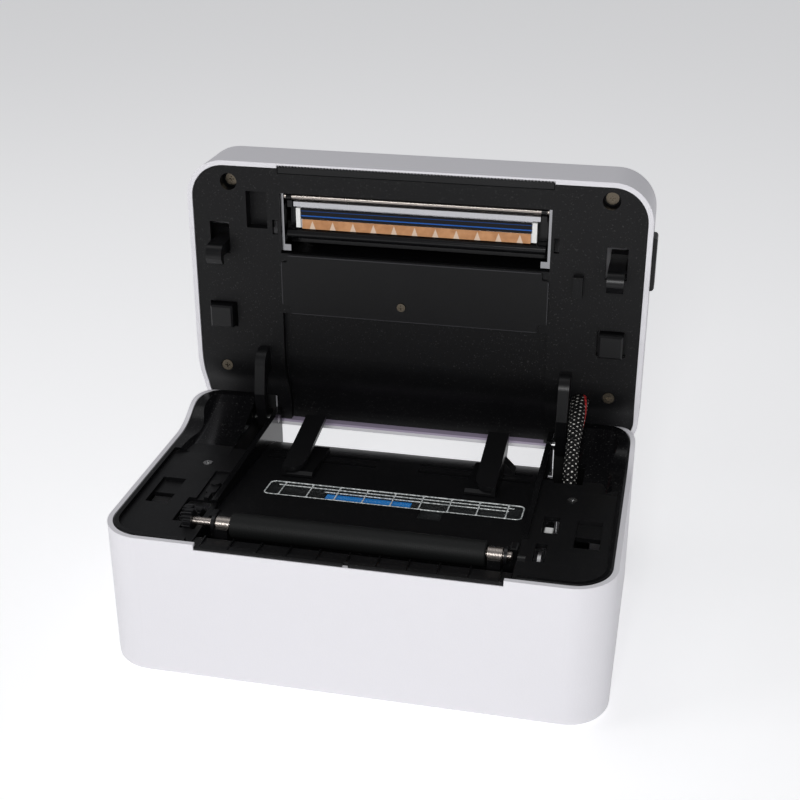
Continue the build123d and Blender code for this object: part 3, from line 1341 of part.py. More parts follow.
with BuildPart() as head_cable:
    with BuildLine():
        hang = Spline((cable_x, hinge_y + 11.0, parting_z + 19.5),
                      (cable_x, hinge_y + 1.0, parting_z + 18.0),
                      (cable_x, hinge_y - 17.0, parting_z + 10.5),
                      (cable_x, hinge_y - 31.0, parting_z - 2.0),
                      (cable_x, hinge_y - 33.0, parting_z - 14.0),
                      tangents=((0, -1, 0), (0, 0, -1)))
    with BuildSketch(Plane(origin=hang @ 0, z_dir=hang % 0)):
        Circle(cable_radius)
    sweep()
head_cable.part.label = "head_cable"
export_step(head_cable.part, "parts/head_cable.step")

with BuildPart() as head_housing:
    # black box behind the head, its open side towards the roller
    housing_low = plate_z + plate_thickness + 0.2
    block((-head_half - 1.3, head_half + 1.3), (head_span_y[0] - 1.3, head_span_y[1] + 1.3),
          (housing_low, head_roof_z))
    block((-head_half - 0.2, head_half + 0.2), (head_span_y[0] - 0.2, head_span_y[1] + 0.2),
          (housing_low - 1, head_roof_z - 1.3), mode=Mode.SUBTRACT)
    swing_open(head_housing)
head_housing.part.label = "head_housing"
export_step(head_housing.part, "parts/head_housing.step")

# ---------------------------------------------------------------- springs in the lid

spring_wire = 0.35
lid_ceiling = lid_top_z - shell_wall


def coil(radius, height, turns):
    """Coil spring that stands on the origin."""
    with BuildPart() as spring:
        with BuildLine():
            path = Helix(pitch=height / turns, height=height, radius=radius)
        with BuildSketch(Plane(origin=path @ 0, z_dir=path % 0)):
            Circle(spring_wire)
        sweep()
    return spring.part


with BuildPart() as head_springs:
    for spring_x in (-pressure_spring_x, pressure_spring_x):
        with Locations((spring_x, platen_y + 5, sink_z[1] + 3 + 2 * spring_wire)):
            add(coil(3.3, head_roof_z - 1.3 - sink_z[1] - 3 - 4 * spring_wire, 5))
    swing_open(head_springs)
head_springs.part.label = "head_springs"
export_step(head_springs.part, "parts/head_springs.step")

with BuildPart() as plunger_springs:
    flange_top = plate_z + plate_thickness + 3
    for side in (-1, 1):
        with Locations((side * plunger_place[0], plunger_place[1], flange_top + 4 * spring_wire)):
            add(coil(4.0, lid_ceiling - flange_top - 6 * spring_wire, 8))
    swing_open(plunger_springs)
plunger_springs.part.label = "plunger_springs"
export_step(plunger_springs.part, "parts/plunger_springs.step")

with BuildPart() as latch_springs:
    for side in (-1, 1):
        seat = (side * (latch_x + 6), hook_stem[1] + 2 * spring_wire, (tab_z[0] + tab_z[1]) / 2)
        with Locations(Location(seat, (-90, 0, 0))):
            add(coil(2.4, spring_post_y - hook_stem[1] - 4 * spring_wire, 6))
    swing_open(latch_springs)
latch_springs.part.label = "latch_springs"
export_step(latch_springs.part, "parts/latch_springs.step")
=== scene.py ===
# %% [markdown]
# # A desktop label and receipt printer, lid open
# The CAD model already holds every housing, gear and fastener at its true size. This
# notebook loads it as a fixed frame and gives it the surfaces, soft details and light
# that make it look like the real machine.

# %% Load the frame
import math

import bpy
import bmesh
from mathutils import Matrix, Vector


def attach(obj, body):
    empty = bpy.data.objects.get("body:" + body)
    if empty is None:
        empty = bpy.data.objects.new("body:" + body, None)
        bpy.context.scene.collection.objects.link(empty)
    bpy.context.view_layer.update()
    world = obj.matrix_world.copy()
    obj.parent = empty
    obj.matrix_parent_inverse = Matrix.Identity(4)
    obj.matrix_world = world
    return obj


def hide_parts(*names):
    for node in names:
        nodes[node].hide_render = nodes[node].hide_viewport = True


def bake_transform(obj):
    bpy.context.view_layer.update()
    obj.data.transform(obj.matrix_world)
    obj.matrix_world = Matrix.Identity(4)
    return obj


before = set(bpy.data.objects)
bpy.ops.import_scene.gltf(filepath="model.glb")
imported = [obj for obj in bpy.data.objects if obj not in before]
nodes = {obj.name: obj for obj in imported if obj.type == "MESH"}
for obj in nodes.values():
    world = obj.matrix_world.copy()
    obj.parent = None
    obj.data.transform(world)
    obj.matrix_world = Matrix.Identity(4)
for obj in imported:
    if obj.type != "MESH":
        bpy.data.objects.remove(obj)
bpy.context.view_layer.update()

# %% [markdown]
# ## Small helpers for shader nodes
# Every finish here is procedural: noise, waves and masks worked out from the object's own
# coordinates, so nothing needs an image. A few short helpers keep each recipe readable.

# %% Shader helpers


def link(tree, source, target):
    """Join an output socket to an input socket."""
    tree.links.new(source, target)


def add_node(tree, kind, **values):
    """Add a shader node and set its plain properties."""
    made = tree.nodes.new(kind)
    for name, value in values.items():
        setattr(made, name, value)
    return made


def math_node(tree, operation, first, second=None, clamp=False):
    """Add a Math node whose inputs are sockets or numbers, and return its output."""
    made = add_node(tree, "ShaderNodeMath", operation=operation, use_clamp=clamp)
    for slot, value in enumerate((first, second)):
        if value is None:
            continue
        if isinstance(value, (int, float)):
            made.inputs[slot].default_value = value
        else:
            link(tree, value, made.inputs[slot])
    return made.outputs[0]


def ramp_node(tree, factor, stops):
    """Add a colour ramp with (position, colour) stops, and return its colour output."""
    made = add_node(tree, "ShaderNodeValToRGB")
    ramp = made.color_ramp
    while len(ramp.elements) < len(stops):
        ramp.elements.new(0.5)
    for element, (place, colour) in zip(ramp.elements, stops):
        element.position = place
        element.color = (*colour, 1.0)
    link(tree, factor, made.inputs["Fac"])
    return made.outputs["Color"]


print("node helpers ready")

# %% Colour mixing and node groups


def mix_colour(tree, factor, first, second):
    """Mix two colours, each a socket or a tuple, by a factor socket."""
    made = add_node(tree, "ShaderNodeMix", data_type="RGBA")
    link(tree, factor, made.inputs["Factor"])
    for name, value in (("A", first), ("B", second)):
        slot = [s for s in made.inputs if s.name == name and s.type == "RGBA"][0]
        if isinstance(value, tuple):
            slot.default_value = (*value, 1.0)
        else:
            link(tree, value, slot)
    return [s for s in made.outputs if s.type == "RGBA"][0]


def start_group(name, inputs, outputs):
    """Make an empty shader node group with named float inputs and outputs."""
    group = bpy.data.node_groups.new(name, "ShaderNodeTree")
    for socket_name, value in inputs:
        kind = "NodeSocketVector" if value is None else "NodeSocketFloat"
        made = group.interface.new_socket(socket_name, in_out="INPUT", socket_type=kind)
        if value is not None:
            made.default_value = value
    for socket_name in outputs:
        group.interface.new_socket(socket_name, in_out="OUTPUT", socket_type="NodeSocketFloat")
    entry = add_node(group, "NodeGroupInput")
    leave = add_node(group, "NodeGroupOutput")
    return group, entry, leave


def use_group(tree, group, place, **values):
    """Place a node group in a material and set its number inputs."""
    made = add_node(tree, "ShaderNodeGroup", node_tree=group)
    link(tree, place, made.inputs["Place"])
    for name, value in values.items():
        made.inputs[name.replace("_", " ")].default_value = value
    return made


print("group helpers ready")

# %% [markdown]
# ## Effects that several finishes share
# Moulded plastic is never perfectly smooth: the tool is spark-eroded, which leaves a fine
# pebbled grain, and handling leaves faint cloudy patches of shine. Each effect is one node
# group, used with different values by many materials.

# %% Moulded grain

grain, entry, leave = start_group("moulded_grain", [("Place", None), ("Scale", 2500.0)],
                                  ["Height"])
cells = add_node(grain, "ShaderNodeTexVoronoi", feature="SMOOTH_F1")
cloud = add_node(grain, "ShaderNodeTexNoise")
cloud.inputs["Detail"].default_value = 2.0
for texture in (cells, cloud):
    link(grain, entry.outputs["Place"], texture.inputs["Vector"])
    link(grain, entry.outputs["Scale"], texture.inputs["Scale"])
link(grain, math_node(grain, "ADD", math_node(grain, "MULTIPLY", cells.outputs["Distance"], 0.7),
                      math_node(grain, "MULTIPLY", cloud.outputs["Fac"], 0.6)),
     leave.inputs["Height"])
print("node group:", grain.name)

# %% Handling marks

handling, entry, leave = start_group("handling_marks",
                                     [("Place", None), ("Low", 0.35), ("High", 0.5)],
                                     ["Roughness"])
broad = add_node(handling, "ShaderNodeTexNoise")
broad.inputs["Scale"].default_value = 28.0
broad.inputs["Detail"].default_value = 5.0
broad.inputs["Distortion"].default_value = 0.6
link(handling, entry.outputs["Place"], broad.inputs["Vector"])
spread = math_node(handling, "SUBTRACT", entry.outputs["High"], entry.outputs["Low"])
link(handling, math_node(handling, "ADD", entry.outputs["Low"],
                         math_node(handling, "MULTIPLY", spread, broad.outputs["Fac"])),
     leave.inputs["Roughness"])
print("node group:", handling.name)

# %% Turning lines

turning, entry, leave = start_group("turning_lines", [("Place", None), ("Scale", 900.0)],
                                    ["Height", "Mask"])
lines = add_node(turning, "ShaderNodeTexWave", wave_type="BANDS", bands_direction="X")
lines.inputs["Distortion"].default_value = 0.4
link(turning, entry.outputs["Place"], lines.inputs["Vector"])
link(turning, entry.outputs["Scale"], lines.inputs["Scale"])
link(turning, lines.outputs["Fac"], leave.inputs["Height"])
link(turning, math_node(turning, "GREATER_THAN", lines.outputs["Fac"], 0.8),
     leave.inputs["Mask"])
print("node group:", turning.name)

# %% Light dust

dust, entry, leave = start_group("light_dust", [("Place", None), ("Amount", 0.05)], ["Mask"])
specks = add_node(dust, "ShaderNodeTexNoise")
specks.inputs["Scale"].default_value = 1400.0
specks.inputs["Detail"].default_value = 3.0
patches = add_node(dust, "ShaderNodeTexNoise")
patches.inputs["Scale"].default_value = 35.0
for texture in (specks, patches):
    link(dust, entry.outputs["Place"], texture.inputs["Vector"])
fleck = math_node(dust, "GREATER_THAN", specks.outputs["Fac"], 0.66)
patch = math_node(dust, "MULTIPLY", patches.outputs["Fac"], entry.outputs["Amount"])
link(dust, math_node(dust, "MULTIPLY", fleck, patch), leave.inputs["Mask"])
print("node groups:", len(bpy.data.node_groups))

# %% [markdown]
# ## Making a finish
# One function starts every material: a Principled shader with its constants set directly
# on the sockets. The recipes below then add what varies over the surface.

# %% Start a material


def start_finish(name, colour, rough, metal=0.0, **extra):
    """New material; returns it with its tree, its shader and the object coordinates."""
    made = bpy.data.materials.new(name)
    made.use_nodes = True
    tree = made.node_tree
    shader = tree.nodes["Principled BSDF"]
    shader.inputs["Base Color"].default_value = (*colour, 1.0)
    shader.inputs["Roughness"].default_value = rough
    shader.inputs["Metallic"].default_value = metal
    for socket, value in extra.items():
        shader.inputs[socket.replace("_", " ")].default_value = value
    place = add_node(tree, "ShaderNodeTexCoord").outputs["Object"]
    return made, tree, shader, place


def add_bump(tree, shader, height, distance, strength=1.0):
    """Feed a height to the shader's normal."""
    bump = add_node(tree, "ShaderNodeBump")
    bump.inputs["Distance"].default_value = distance
    bump.inputs["Strength"].default_value = strength
    link(tree, height, bump.inputs["Height"])
    link(tree, bump.outputs["Normal"], shader.inputs["Normal"])


print("material start ready")

# %% Moulded plastic and masks
LIGHT_DUST = (0.5, 0.5, 0.48)


def moulded(name, colour, low, high, grain_scale, grain_depth, dust_amount=0.0, **extra):
    """Moulded plastic: grain in the surface, patches of shine and a little dust."""
    made, tree, shader, place = start_finish(name, colour, low, **extra)
    marks = use_group(tree, handling, place, Low=low, High=high)
    link(tree, marks.outputs["Roughness"], shader.inputs["Roughness"])
    pebbles = use_group(tree, grain, place, Scale=grain_scale)
    add_bump(tree, shader, pebbles.outputs["Height"], grain_depth)
    if dust_amount:
        specks = use_group(tree, dust, place, Amount=dust_amount)
        link(tree, mix_colour(tree, specks.outputs["Mask"], colour, LIGHT_DUST),
             shader.inputs["Base Color"])
    return made


def between(tree, value, low, high):
    """1 where a value lies between two limits, else 0."""
    return math_node(tree, "MULTIPLY", math_node(tree, "GREATER_THAN", value, low),
                     math_node(tree, "LESS_THAN", value, high))


def split_place(tree, place):
    """The three coordinates of a point as separate outputs."""
    made = add_node(tree, "ShaderNodeSeparateXYZ")
    link(tree, place, made.inputs[0])
    return made.outputs


print("finish helpers ready")

# %% [markdown]
# ## The finishes
# White housing: a fine satin texture. The inner face of the lid's rear wall is painted a
# faint violet shade for the shadow inside the open lid, and the inner face of the base's
# rear wall behind the two hinge slots is painted black shade. Black chassis: the same process
# in a darker, slightly shinier resin. The channel's side walls are polished in the tool,
# because paper slides along them, so one mask makes those walls glossy.

# %% Black plastic of the head cover
BLACK_RESIN = (0.0035, 0.0035, 0.004)
EDGE_PAINTED_HIGHLIGHT = (0.030, 0.030, 0.033)
RESIN_GRAIN = 2200.0
COVER_SIDE = 0.0626
COVER_TOP = 0.14885
COVER_BOTTOM = 0.1206


def cover_finish(name, colour):
    """Grained plastic whose edge bands are glossier and painted lighter, a painted highlight
    that draws the outline of a panel.
    """
    made, tree, shader, place = start_finish(name, colour, 0.4, Specular_IOR_Level=0.22)
    x, _, z = split_place(tree, place)
    side = math_node(tree, "GREATER_THAN", math_node(tree, "ABSOLUTE", x), COVER_SIDE)
    top = math_node(tree, "GREATER_THAN", z, COVER_TOP)
    bottom = math_node(tree, "LESS_THAN", z, COVER_BOTTOM)
    edge = math_node(tree, "MAXIMUM", side, math_node(tree, "MAXIMUM", top, bottom))
    # Painted highlight: the edge bands get a lighter black, standing in for light caught on the
    # panel's rounded edges.
    link(tree, mix_colour(tree, edge, colour, EDGE_PAINTED_HIGHLIGHT), shader.inputs["Base Color"])
    marks = use_group(tree, handling, place, Low=0.34, High=0.50)
    shine = math_node(tree, "SUBTRACT", 1.0, math_node(tree, "MULTIPLY", edge, 0.5))
    link(tree, math_node(tree, "MULTIPLY", marks.outputs["Roughness"], shine),
         shader.inputs["Roughness"])
    pebbles = use_group(tree, grain, place, Scale=RESIN_GRAIN)
    add_bump(tree, shader, pebbles.outputs["Height"], 0.00003)
    return made


black_cover = cover_finish("black_cover", BLACK_RESIN)
print("cover finish ready")

# %% White housing
WHITE_SHELL = (0.74, 0.73, 0.76)
VIOLET_PAINTED_SHADE = (0.40, 0.34, 0.46)
SHADE_BLACK = (0.006, 0.006, 0.006)

def paint_shade_inside(finish, name, shade_colour, limits):
    """Copy of a finish with a painted shade colour inside (low, high) limits on |x|, y and z."""
    made = finish.copy()
    made.name = name
    tree = made.node_tree
    place = add_node(tree, "ShaderNodeTexCoord").outputs["Object"]
    x, y, z = split_place(tree, place)
    side = math_node(tree, "ABSOLUTE", x)
    within = [between(tree, value, low, high)
              for value, (low, high) in zip((side, y, z), limits)]
    inside = math_node(tree, "MULTIPLY", within[0],
                       math_node(tree, "MULTIPLY", within[1], within[2]))
    link(tree, mix_colour(tree, inside, WHITE_SHELL, shade_colour),
         tree.nodes["Principled BSDF"].inputs["Base Color"])
    return made


white_housing = moulded("white_housing", WHITE_SHELL, 0.40, 0.55, 1500.0, 0.00004)
# Painted shade: violet on the inner face of the lid's rear wall, for the shadow inside the open
# lid.
lid_white_painted_shade = paint_shade_inside(white_housing, "lid_white_painted_shade", VIOLET_PAINTED_SHADE,
                        ((-1.0, 0.088), (0.0636, 0.0900), (0.0590, 0.0610)))
# Painted shade: black on the inner face of the base's rear wall behind the two hinge slots,
# where the recess is in shadow.
base_white_painted_shade = paint_shade_inside(white_housing, "base_white_painted_shade", SHADE_BLACK,
                         ((0.0660, 0.0885), (0.0500, 0.06545), (0.0300, 0.0800)))
print("white finishes ready")

# %% Other plastics and rubber feet
black_lid = moulded("black_lid", BLACK_RESIN, 0.34, 0.50, RESIN_GRAIN, 0.00003,
                    dust_amount=0.08, Specular_IOR_Level=0.20)
black_smooth = moulded("black_smooth", (0.004, 0.004, 0.0045), 0.18, 0.28, 900.0, 0.00001,
                       Specular_IOR_Level=0.24)
black_moving = moulded("black_moving", (0.0045, 0.0045, 0.005), 0.24, 0.38, 2600.0, 0.00002,
                       Specular_IOR_Level=0.26)
gear_black = moulded("gear_black", (0.007, 0.007, 0.008), 0.25, 0.35, 1200.0, 0.00001,
                     Specular_IOR_Level=0.35)
white_nylon = moulded("white_nylon", (0.82, 0.82, 0.80), 0.30, 0.40, 1200.0, 0.00001)
rubber_feet_finish = moulded("rubber_feet_finish", (0.02, 0.02, 0.02), 0.65, 0.80, 1500.0,
                             0.00005)
print("moulded finishes ready")

# %% Chassis plastic, polished on the channel walls and along the rim
CHANNEL_WALL = (0.0660, 0.0666)
RIM_HEIGHT = 0.0669
CHASSIS_DUST = (0.4, 0.4, 0.38)


def chassis_finish(name, colour):
    """Grained black plastic, glossy where paper slides and along the rounded rim."""
    made, tree, shader, place = start_finish(name, colour, 0.4, Specular_IOR_Level=0.22)
    x, _, z = split_place(tree, place)
    side = math_node(tree, "ABSOLUTE", x)
    wall = between(tree, side, *CHANNEL_WALL)
    rim = math_node(tree, "GREATER_THAN", z, RIM_HEIGHT)
    polished = math_node(tree, "MAXIMUM", wall, rim)
    marks = use_group(tree, handling, place, Low=0.32, High=0.50)
    shine = math_node(tree, "SUBTRACT", 1.0, math_node(tree, "MULTIPLY", polished, 0.62))
    link(tree, math_node(tree, "MULTIPLY", marks.outputs["Roughness"], shine),
         shader.inputs["Roughness"])
    pebbles = use_group(tree, grain, place, Scale=RESIN_GRAIN)
    dull = math_node(tree, "SUBTRACT", 1.0, polished)
    add_bump(tree, shader, math_node(tree, "MULTIPLY", pebbles.outputs["Height"], dull), 0.00003)
    specks = use_group(tree, dust, place, Amount=0.12)
    link(tree, mix_colour(tree, specks.outputs["Mask"], colour, CHASSIS_DUST),
         shader.inputs["Base Color"])
    return made


black_chassis = chassis_finish("black_chassis", BLACK_RESIN)
print("plastics ready")

# %% [markdown]
# ## Rubber, metal, clear plastic and boards
# The roller is ground rubber, so fine rings run round it. The shafts, the screws and the
# heat sink share one recipe for turned metal, with their own colour and pitch of lines.
# The clear window shows what lies under it, and the glint on its edges is painted as a pale
# colour.

# %% Ground rubber of the roller

roller_rubber, tree, shader, place = start_finish("roller_rubber", (0.006, 0.0065, 0.0065), 0.5,
                                                  Specular_IOR_Level=0.22)
ground = use_group(tree, turning, place, Scale=420.0)
pebbles = use_group(tree, grain, place, Scale=3200.0)
add_bump(tree, shader, math_node(tree, "ADD", ground.outputs["Height"],
                                 pebbles.outputs["Height"]), 0.00003)
marks = use_group(tree, handling, place, Low=0.46, High=0.66)
link(tree, marks.outputs["Roughness"], shader.inputs["Roughness"])
print("rubber ready")

# %% Turned and brushed metal


def turned_metal(name, colour, rough, scale, depth):
    """Bright metal with fine lines round an axis along X."""
    made, tree, shader, place = start_finish(name, colour, rough, metal=1.0)
    ridges = use_group(tree, turning, place, Scale=scale)
    add_bump(tree, shader, ridges.outputs["Height"], depth)
    marks = use_group(tree, handling, place, Low=rough - 0.06, High=rough + 0.1)
    link(tree, marks.outputs["Roughness"], shader.inputs["Roughness"])
    return made


turned_steel = turned_metal("turned_steel", (0.40, 0.36, 0.33), 0.24, 520.0, 0.00005)
plain_steel = turned_metal("plain_steel", (0.42, 0.42, 0.42), 0.26, 1500.0, 0.00001)
screw_nickel = turned_metal("screw_nickel", (0.10, 0.085, 0.065), 0.20, 1200.0, 0.00001)
bright_steel = turned_metal("bright_steel", (0.26, 0.26, 0.27), 0.16, 2500.0, 0.000004)
brushed_aluminium = turned_metal("brushed_aluminium", (0.46, 0.46, 0.48), 0.24, 3000.0,
                                 0.000006)
motor_metal = turned_metal("motor_metal", (0.35, 0.35, 0.36), 0.34, 700.0, 0.00001)
print("metals ready")

# %% Clear plastic and the painted glint of its edges
clear_plastic = start_finish("clear_plastic", (0.10, 0.11, 0.11), 0.04, Alpha=0.07)[0]
clear_edge_painted_glint, tree, shader, place = start_finish("clear_edge_painted_glint", (0.62, 0.65, 0.64), 0.10)
painted_glints = add_node(tree, "ShaderNodeTexNoise")
painted_glints.inputs["Scale"].default_value = 900.0
link(tree, place, painted_glints.inputs["Vector"])
# Painted glint: a pale, speckled colour stands in for the light caught on the window's edges and
# ribs.
link(tree, ramp_node(tree, painted_glints.outputs["Fac"],
                     [(0.38, (0.34, 0.37, 0.37)), (0.60, (0.90, 0.93, 0.92))]),
     shader.inputs["Base Color"])
print("clear finishes ready")

# %% Circuit boards


def circuit_board(name, colour, track):
    """Lacquered board with fine tracks under the lacquer."""
    made, tree, shader, place = start_finish(name, colour, 0.3, Coat_Weight=0.5)
    bricks = add_node(tree, "ShaderNodeTexBrick")
    bricks.inputs["Scale"].default_value = 220.0
    bricks.inputs["Mortar Size"].default_value = 0.05
    link(tree, place, bricks.inputs["Vector"])
    link(tree, mix_colour(tree, bricks.outputs["Fac"], colour, track),
         shader.inputs["Base Color"])
    return made


blue_board = circuit_board("blue_board", (0.005, 0.27, 0.85), (0.01, 0.33, 0.92))
green_board = circuit_board("green_board", (0.01, 0.09, 0.03), (0.02, 0.20, 0.07))
print("boards ready")

# %% [markdown]
# ## Print head
# The ceramic strip faces the roller when the lid is shut, so with the lid open its short
# side runs along Z. Two blue printed conductors run along it. The flexible circuit below it
# is amber film with a row of pale triangular windows.

# %% Ceramic strip
CERAMIC = (0.004, 0.004, 0.006)
UPPER_LINE = (0.16975, 0.17005)
LOWER_LINE = (0.16735, 0.16785)

ceramic_black, tree, shader, place = start_finish("ceramic_black", CERAMIC, 0.10,
                                                  Specular_IOR_Level=0.15)
across = split_place(tree, place)[2]
upper_line = between(tree, across, *UPPER_LINE)
lower_line = between(tree, across, *LOWER_LINE)
blue_lines = math_node(tree, "ADD", math_node(tree, "MULTIPLY", upper_line, 0.45), lower_line)
link(tree, mix_colour(tree, blue_lines, CERAMIC, (0.010, 0.10, 0.42)),
     shader.inputs["Base Color"])
print("ceramic ready")

# %% Flexible circuit
TRIANGLE_PITCH = 0.0097
TRIANGLE_TIP = 0.1652
TRIANGLE_SLOPE = 0.36

flex_orange, tree, shader, place = start_finish("flex_orange", (0.50, 0.23, 0.09), 0.34)
x, _, z = split_place(tree, place)
phase = math_node(tree, "ADD", math_node(tree, "DIVIDE", x, TRIANGLE_PITCH), 50.5)
offset = math_node(tree, "ABSOLUTE", math_node(tree, "SUBTRACT",
                                               math_node(tree, "FRACT", phase), 0.5))
half_at = math_node(tree, "MULTIPLY", math_node(tree, "SUBTRACT", TRIANGLE_TIP, z),
                    TRIANGLE_SLOPE)
inside = math_node(tree, "LESS_THAN", math_node(tree, "MULTIPLY", offset, TRIANGLE_PITCH),
                   half_at)
film = add_node(tree, "ShaderNodeTexNoise")
film.inputs["Scale"].default_value = 260.0
link(tree, place, film.inputs["Vector"])
amber = ramp_node(tree, film.outputs["Fac"],
                  [(0.3, (0.42, 0.18, 0.06)), (0.7, (0.56, 0.27, 0.11))])
link(tree, mix_colour(tree, inside, amber, (0.66, 0.50, 0.38)), shader.inputs["Base Color"])
print("flexible circuit ready")

# %% [markdown]
# ## Braided sleeving
# The head's wires run in a black braid. Two sets of strands wind in opposite directions,
# pale flecks show where they cross, and one red thread runs along.

# %% Braid
STRAND_BLACK = (0.004, 0.004, 0.004)
STRANDS = 12
STRAND_TRAVEL = 2600.0


def braided(name):
    """Black braided sleeving: crossing strands, pale flecks and one red thread."""
    made, tree, shader, place = start_finish(name, STRAND_BLACK, 0.55,
                                              Specular_IOR_Level=0.2)
    wrap = add_node(tree, "ShaderNodeUVMap", uv_map="Sleeve").outputs["UV"]
    around, along, _ = split_place(tree, wrap)
    turn = math_node(tree, "MULTIPLY", around, STRANDS * math.pi)
    travel = math_node(tree, "MULTIPLY", along, STRAND_TRAVEL)
    right = math_node(tree, "SINE", math_node(tree, "ADD", turn, travel))
    left = math_node(tree, "SINE", math_node(tree, "SUBTRACT", turn, travel))
    weave = math_node(tree, "MAXIMUM", right, left)
    add_bump(tree, shader, weave, 0.00025)
    spots = add_node(tree, "ShaderNodeTexNoise")
    spots.inputs["Scale"].default_value = 1300.0
    link(tree, place, spots.inputs["Vector"])
    crossing = math_node(tree, "GREATER_THAN", math_node(tree, "MINIMUM", right, left), 0.45)
    fleck = math_node(tree, "MULTIPLY", crossing,
                      math_node(tree, "GREATER_THAN", spots.outputs["Fac"], 0.47))
    lean = math_node(tree, "ADD", around, math_node(tree, "MULTIPLY", along, 9.0))
    winding = math_node(tree, "FRACT", math_node(tree, "ADD", lean, 10.33))
    thread = between(tree, winding, 0.0, 0.05)
    speckled = mix_colour(tree, fleck, STRAND_BLACK, (0.70, 0.68, 0.64))
    link(tree, mix_colour(tree, thread, speckled, (0.45, 0.03, 0.03)),
         shader.inputs["Base Color"])
    return made


braid = braided("braid")
print("materials:", len(bpy.data.materials))

# %% [markdown]
# ## Paint the CAD nodes
# Each CAD node keeps its mesh. Only the material in its slot changes.

# %% Assign the finishes
FINISHES = {
    "base_shell": base_white_painted_shade, "lid_shell": lid_white_painted_shade, "bottom_cover": white_housing,
    "base_tray": black_chassis, "lid_plate": black_lid, "front_apron": black_chassis,
    "head_cover": black_cover, "left_guide": black_moving, "right_guide": black_moving,
    "hinge_ears": black_moving, "left_latch": black_moving, "right_latch": black_moving,
    "left_plunger": black_moving, "right_plunger": black_moving, "head_mount": black_smooth,
    "light_window": clear_plastic, "sensor_board": blue_board, "main_board": green_board,
    "cover_sensor": white_nylon, "head_end_caps": white_nylon, "earth_spring": plain_steel,
    "rubber_feet": rubber_feet_finish, "tray_screws": plain_steel, "lid_screws": screw_nickel,
    "power_inlet": black_moving, "usb_port": plain_steel, "switch_frame": black_moving,
    "power_rocker": black_smooth, "hinge_pins": plain_steel, "platen_shaft": turned_steel,
    "platen_roller": roller_rubber, "platen_collars": gear_black,
    "platen_bushes": turned_steel, "platen_gear": gear_black, "idler_gear": gear_black,
    "reduction_gear": gear_black, "motor_pinion": turned_steel, "motor_shaft": turned_steel,
    "stepper_motor": motor_metal, "motor_bracket": plain_steel, "gear_axles": turned_steel,
    "guide_pinion": gear_black, "guide_axle": turned_steel, "tear_bar": black_smooth,
    "head_rod": turned_steel, "head_brackets": bright_steel, "heat_sink": brushed_aluminium,
    "head_ceramic": ceramic_black, "head_flex": flex_orange, "head_cable": braid,
    "head_springs": plain_steel, "latch_springs": plain_steel, "plunger_springs": plain_steel,
    "gear_keeper": black_moving, "bush_clips": black_moving, "head_housing": black_smooth,
}


def paint(node, finish):
    """Put a finish in every material slot of a CAD node."""
    made = nodes[node]
    if not made.material_slots:
        made.data.materials.append(finish)
    for slot in made.material_slots:
        slot.material = finish


for node, finish in FINISHES.items():
    if node in nodes:
        paint(node, finish)
print("painted:", len(FINISHES), "not painted:", sorted(set(nodes) - set(FINISHES)))

# %% [markdown]
# ## The clear sensor window
# The moulded window sits in a pocket of the sloping paper floor. The light that its thick
# edges and the ribs under it catch is painted on them as a pale, speckled colour, while the
# flat parts between them let the dark pocket and the blue sensor board show through. The
# rim, the ribs and the long light guides are modelled here, and they lie on the CAD window.

# %% Helpers that model with operators
STRIP_SLOPE = math.radians(4.5)
STRIP_PLACE = Vector((0.0056, -0.0038, 0.06283))
STRIP_SIZE = (0.116, 0.0146)


def start_piece(name, kind, **values):
    """Add a primitive to shape further, with nothing else selected."""
    bpy.ops.object.select_all(action="DESELECT")
    kind(**values)
    made = bpy.context.object
    made.name = name
    return made


def select_only(made):
    """Select one object and make it the active one."""
    bpy.ops.object.select_all(action="DESELECT")
    made.select_set(True)
    bpy.context.view_layer.objects.active = made


def edit_all():
    """Open edit mode with the whole mesh of the active object selected."""
    bpy.ops.object.mode_set(mode="EDIT")
    bpy.ops.mesh.select_all(action="SELECT")


def close_edit():
    """Turn the normals outward and leave edit mode."""
    bpy.ops.mesh.select_all(action="SELECT")
    bpy.ops.mesh.normals_make_consistent(inside=False)
    bpy.ops.object.mode_set(mode="OBJECT")


def pick_faces(made, wanted):
    """In edit mode, select only the faces that a test accepts."""
    mesh = bmesh.from_edit_mesh(made.data)
    bpy.ops.mesh.select_mode(type="FACE")
    for face in mesh.faces:
        face.select_set(False)
    for face in mesh.faces:
        if wanted(face):
            face.select_set(True)
    bmesh.update_edit_mesh(made.data)


def round_edges(made, width):
    """Round the sharp edges of a piece by a small width."""
    soften = made.modifiers.new("edge_round", "BEVEL")
    soften.width = width
    soften.segments = 2
    bpy.ops.object.modifier_apply(modifier="edge_round")


print("modelling helpers ready")

# %% Place a piece on the strip and finish it


def lay_on_strip(made, along, across, lift):
    """Set a piece drawn about the origin on the sloping floor, beside the window's middle."""
    turn = Matrix.Rotation(-STRIP_SLOPE, 4, "X")
    made.matrix_world = Matrix.Translation(STRIP_PLACE) @ turn @ Matrix.Translation(
        (along, across, lift))
    select_only(made)
    bpy.ops.object.transform_apply(location=True, rotation=True, scale=True)


def finish_piece(made, finish, body):
    """Smooth a piece by angle, give it its finish and let it ride on a body."""
    select_only(made)
    bpy.ops.object.shade_smooth_by_angle(angle=math.radians(40))
    made.data.materials.clear()
    made.data.materials.append(finish)
    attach(made, body)
    return made


print("placing helpers ready")

# %% Rim of the window
RIM_CLEARANCE = 0.0001
CORNER_RADIUS = 0.0027
RIM_WIDTH = 0.00055
RIM_RISE = 0.00042

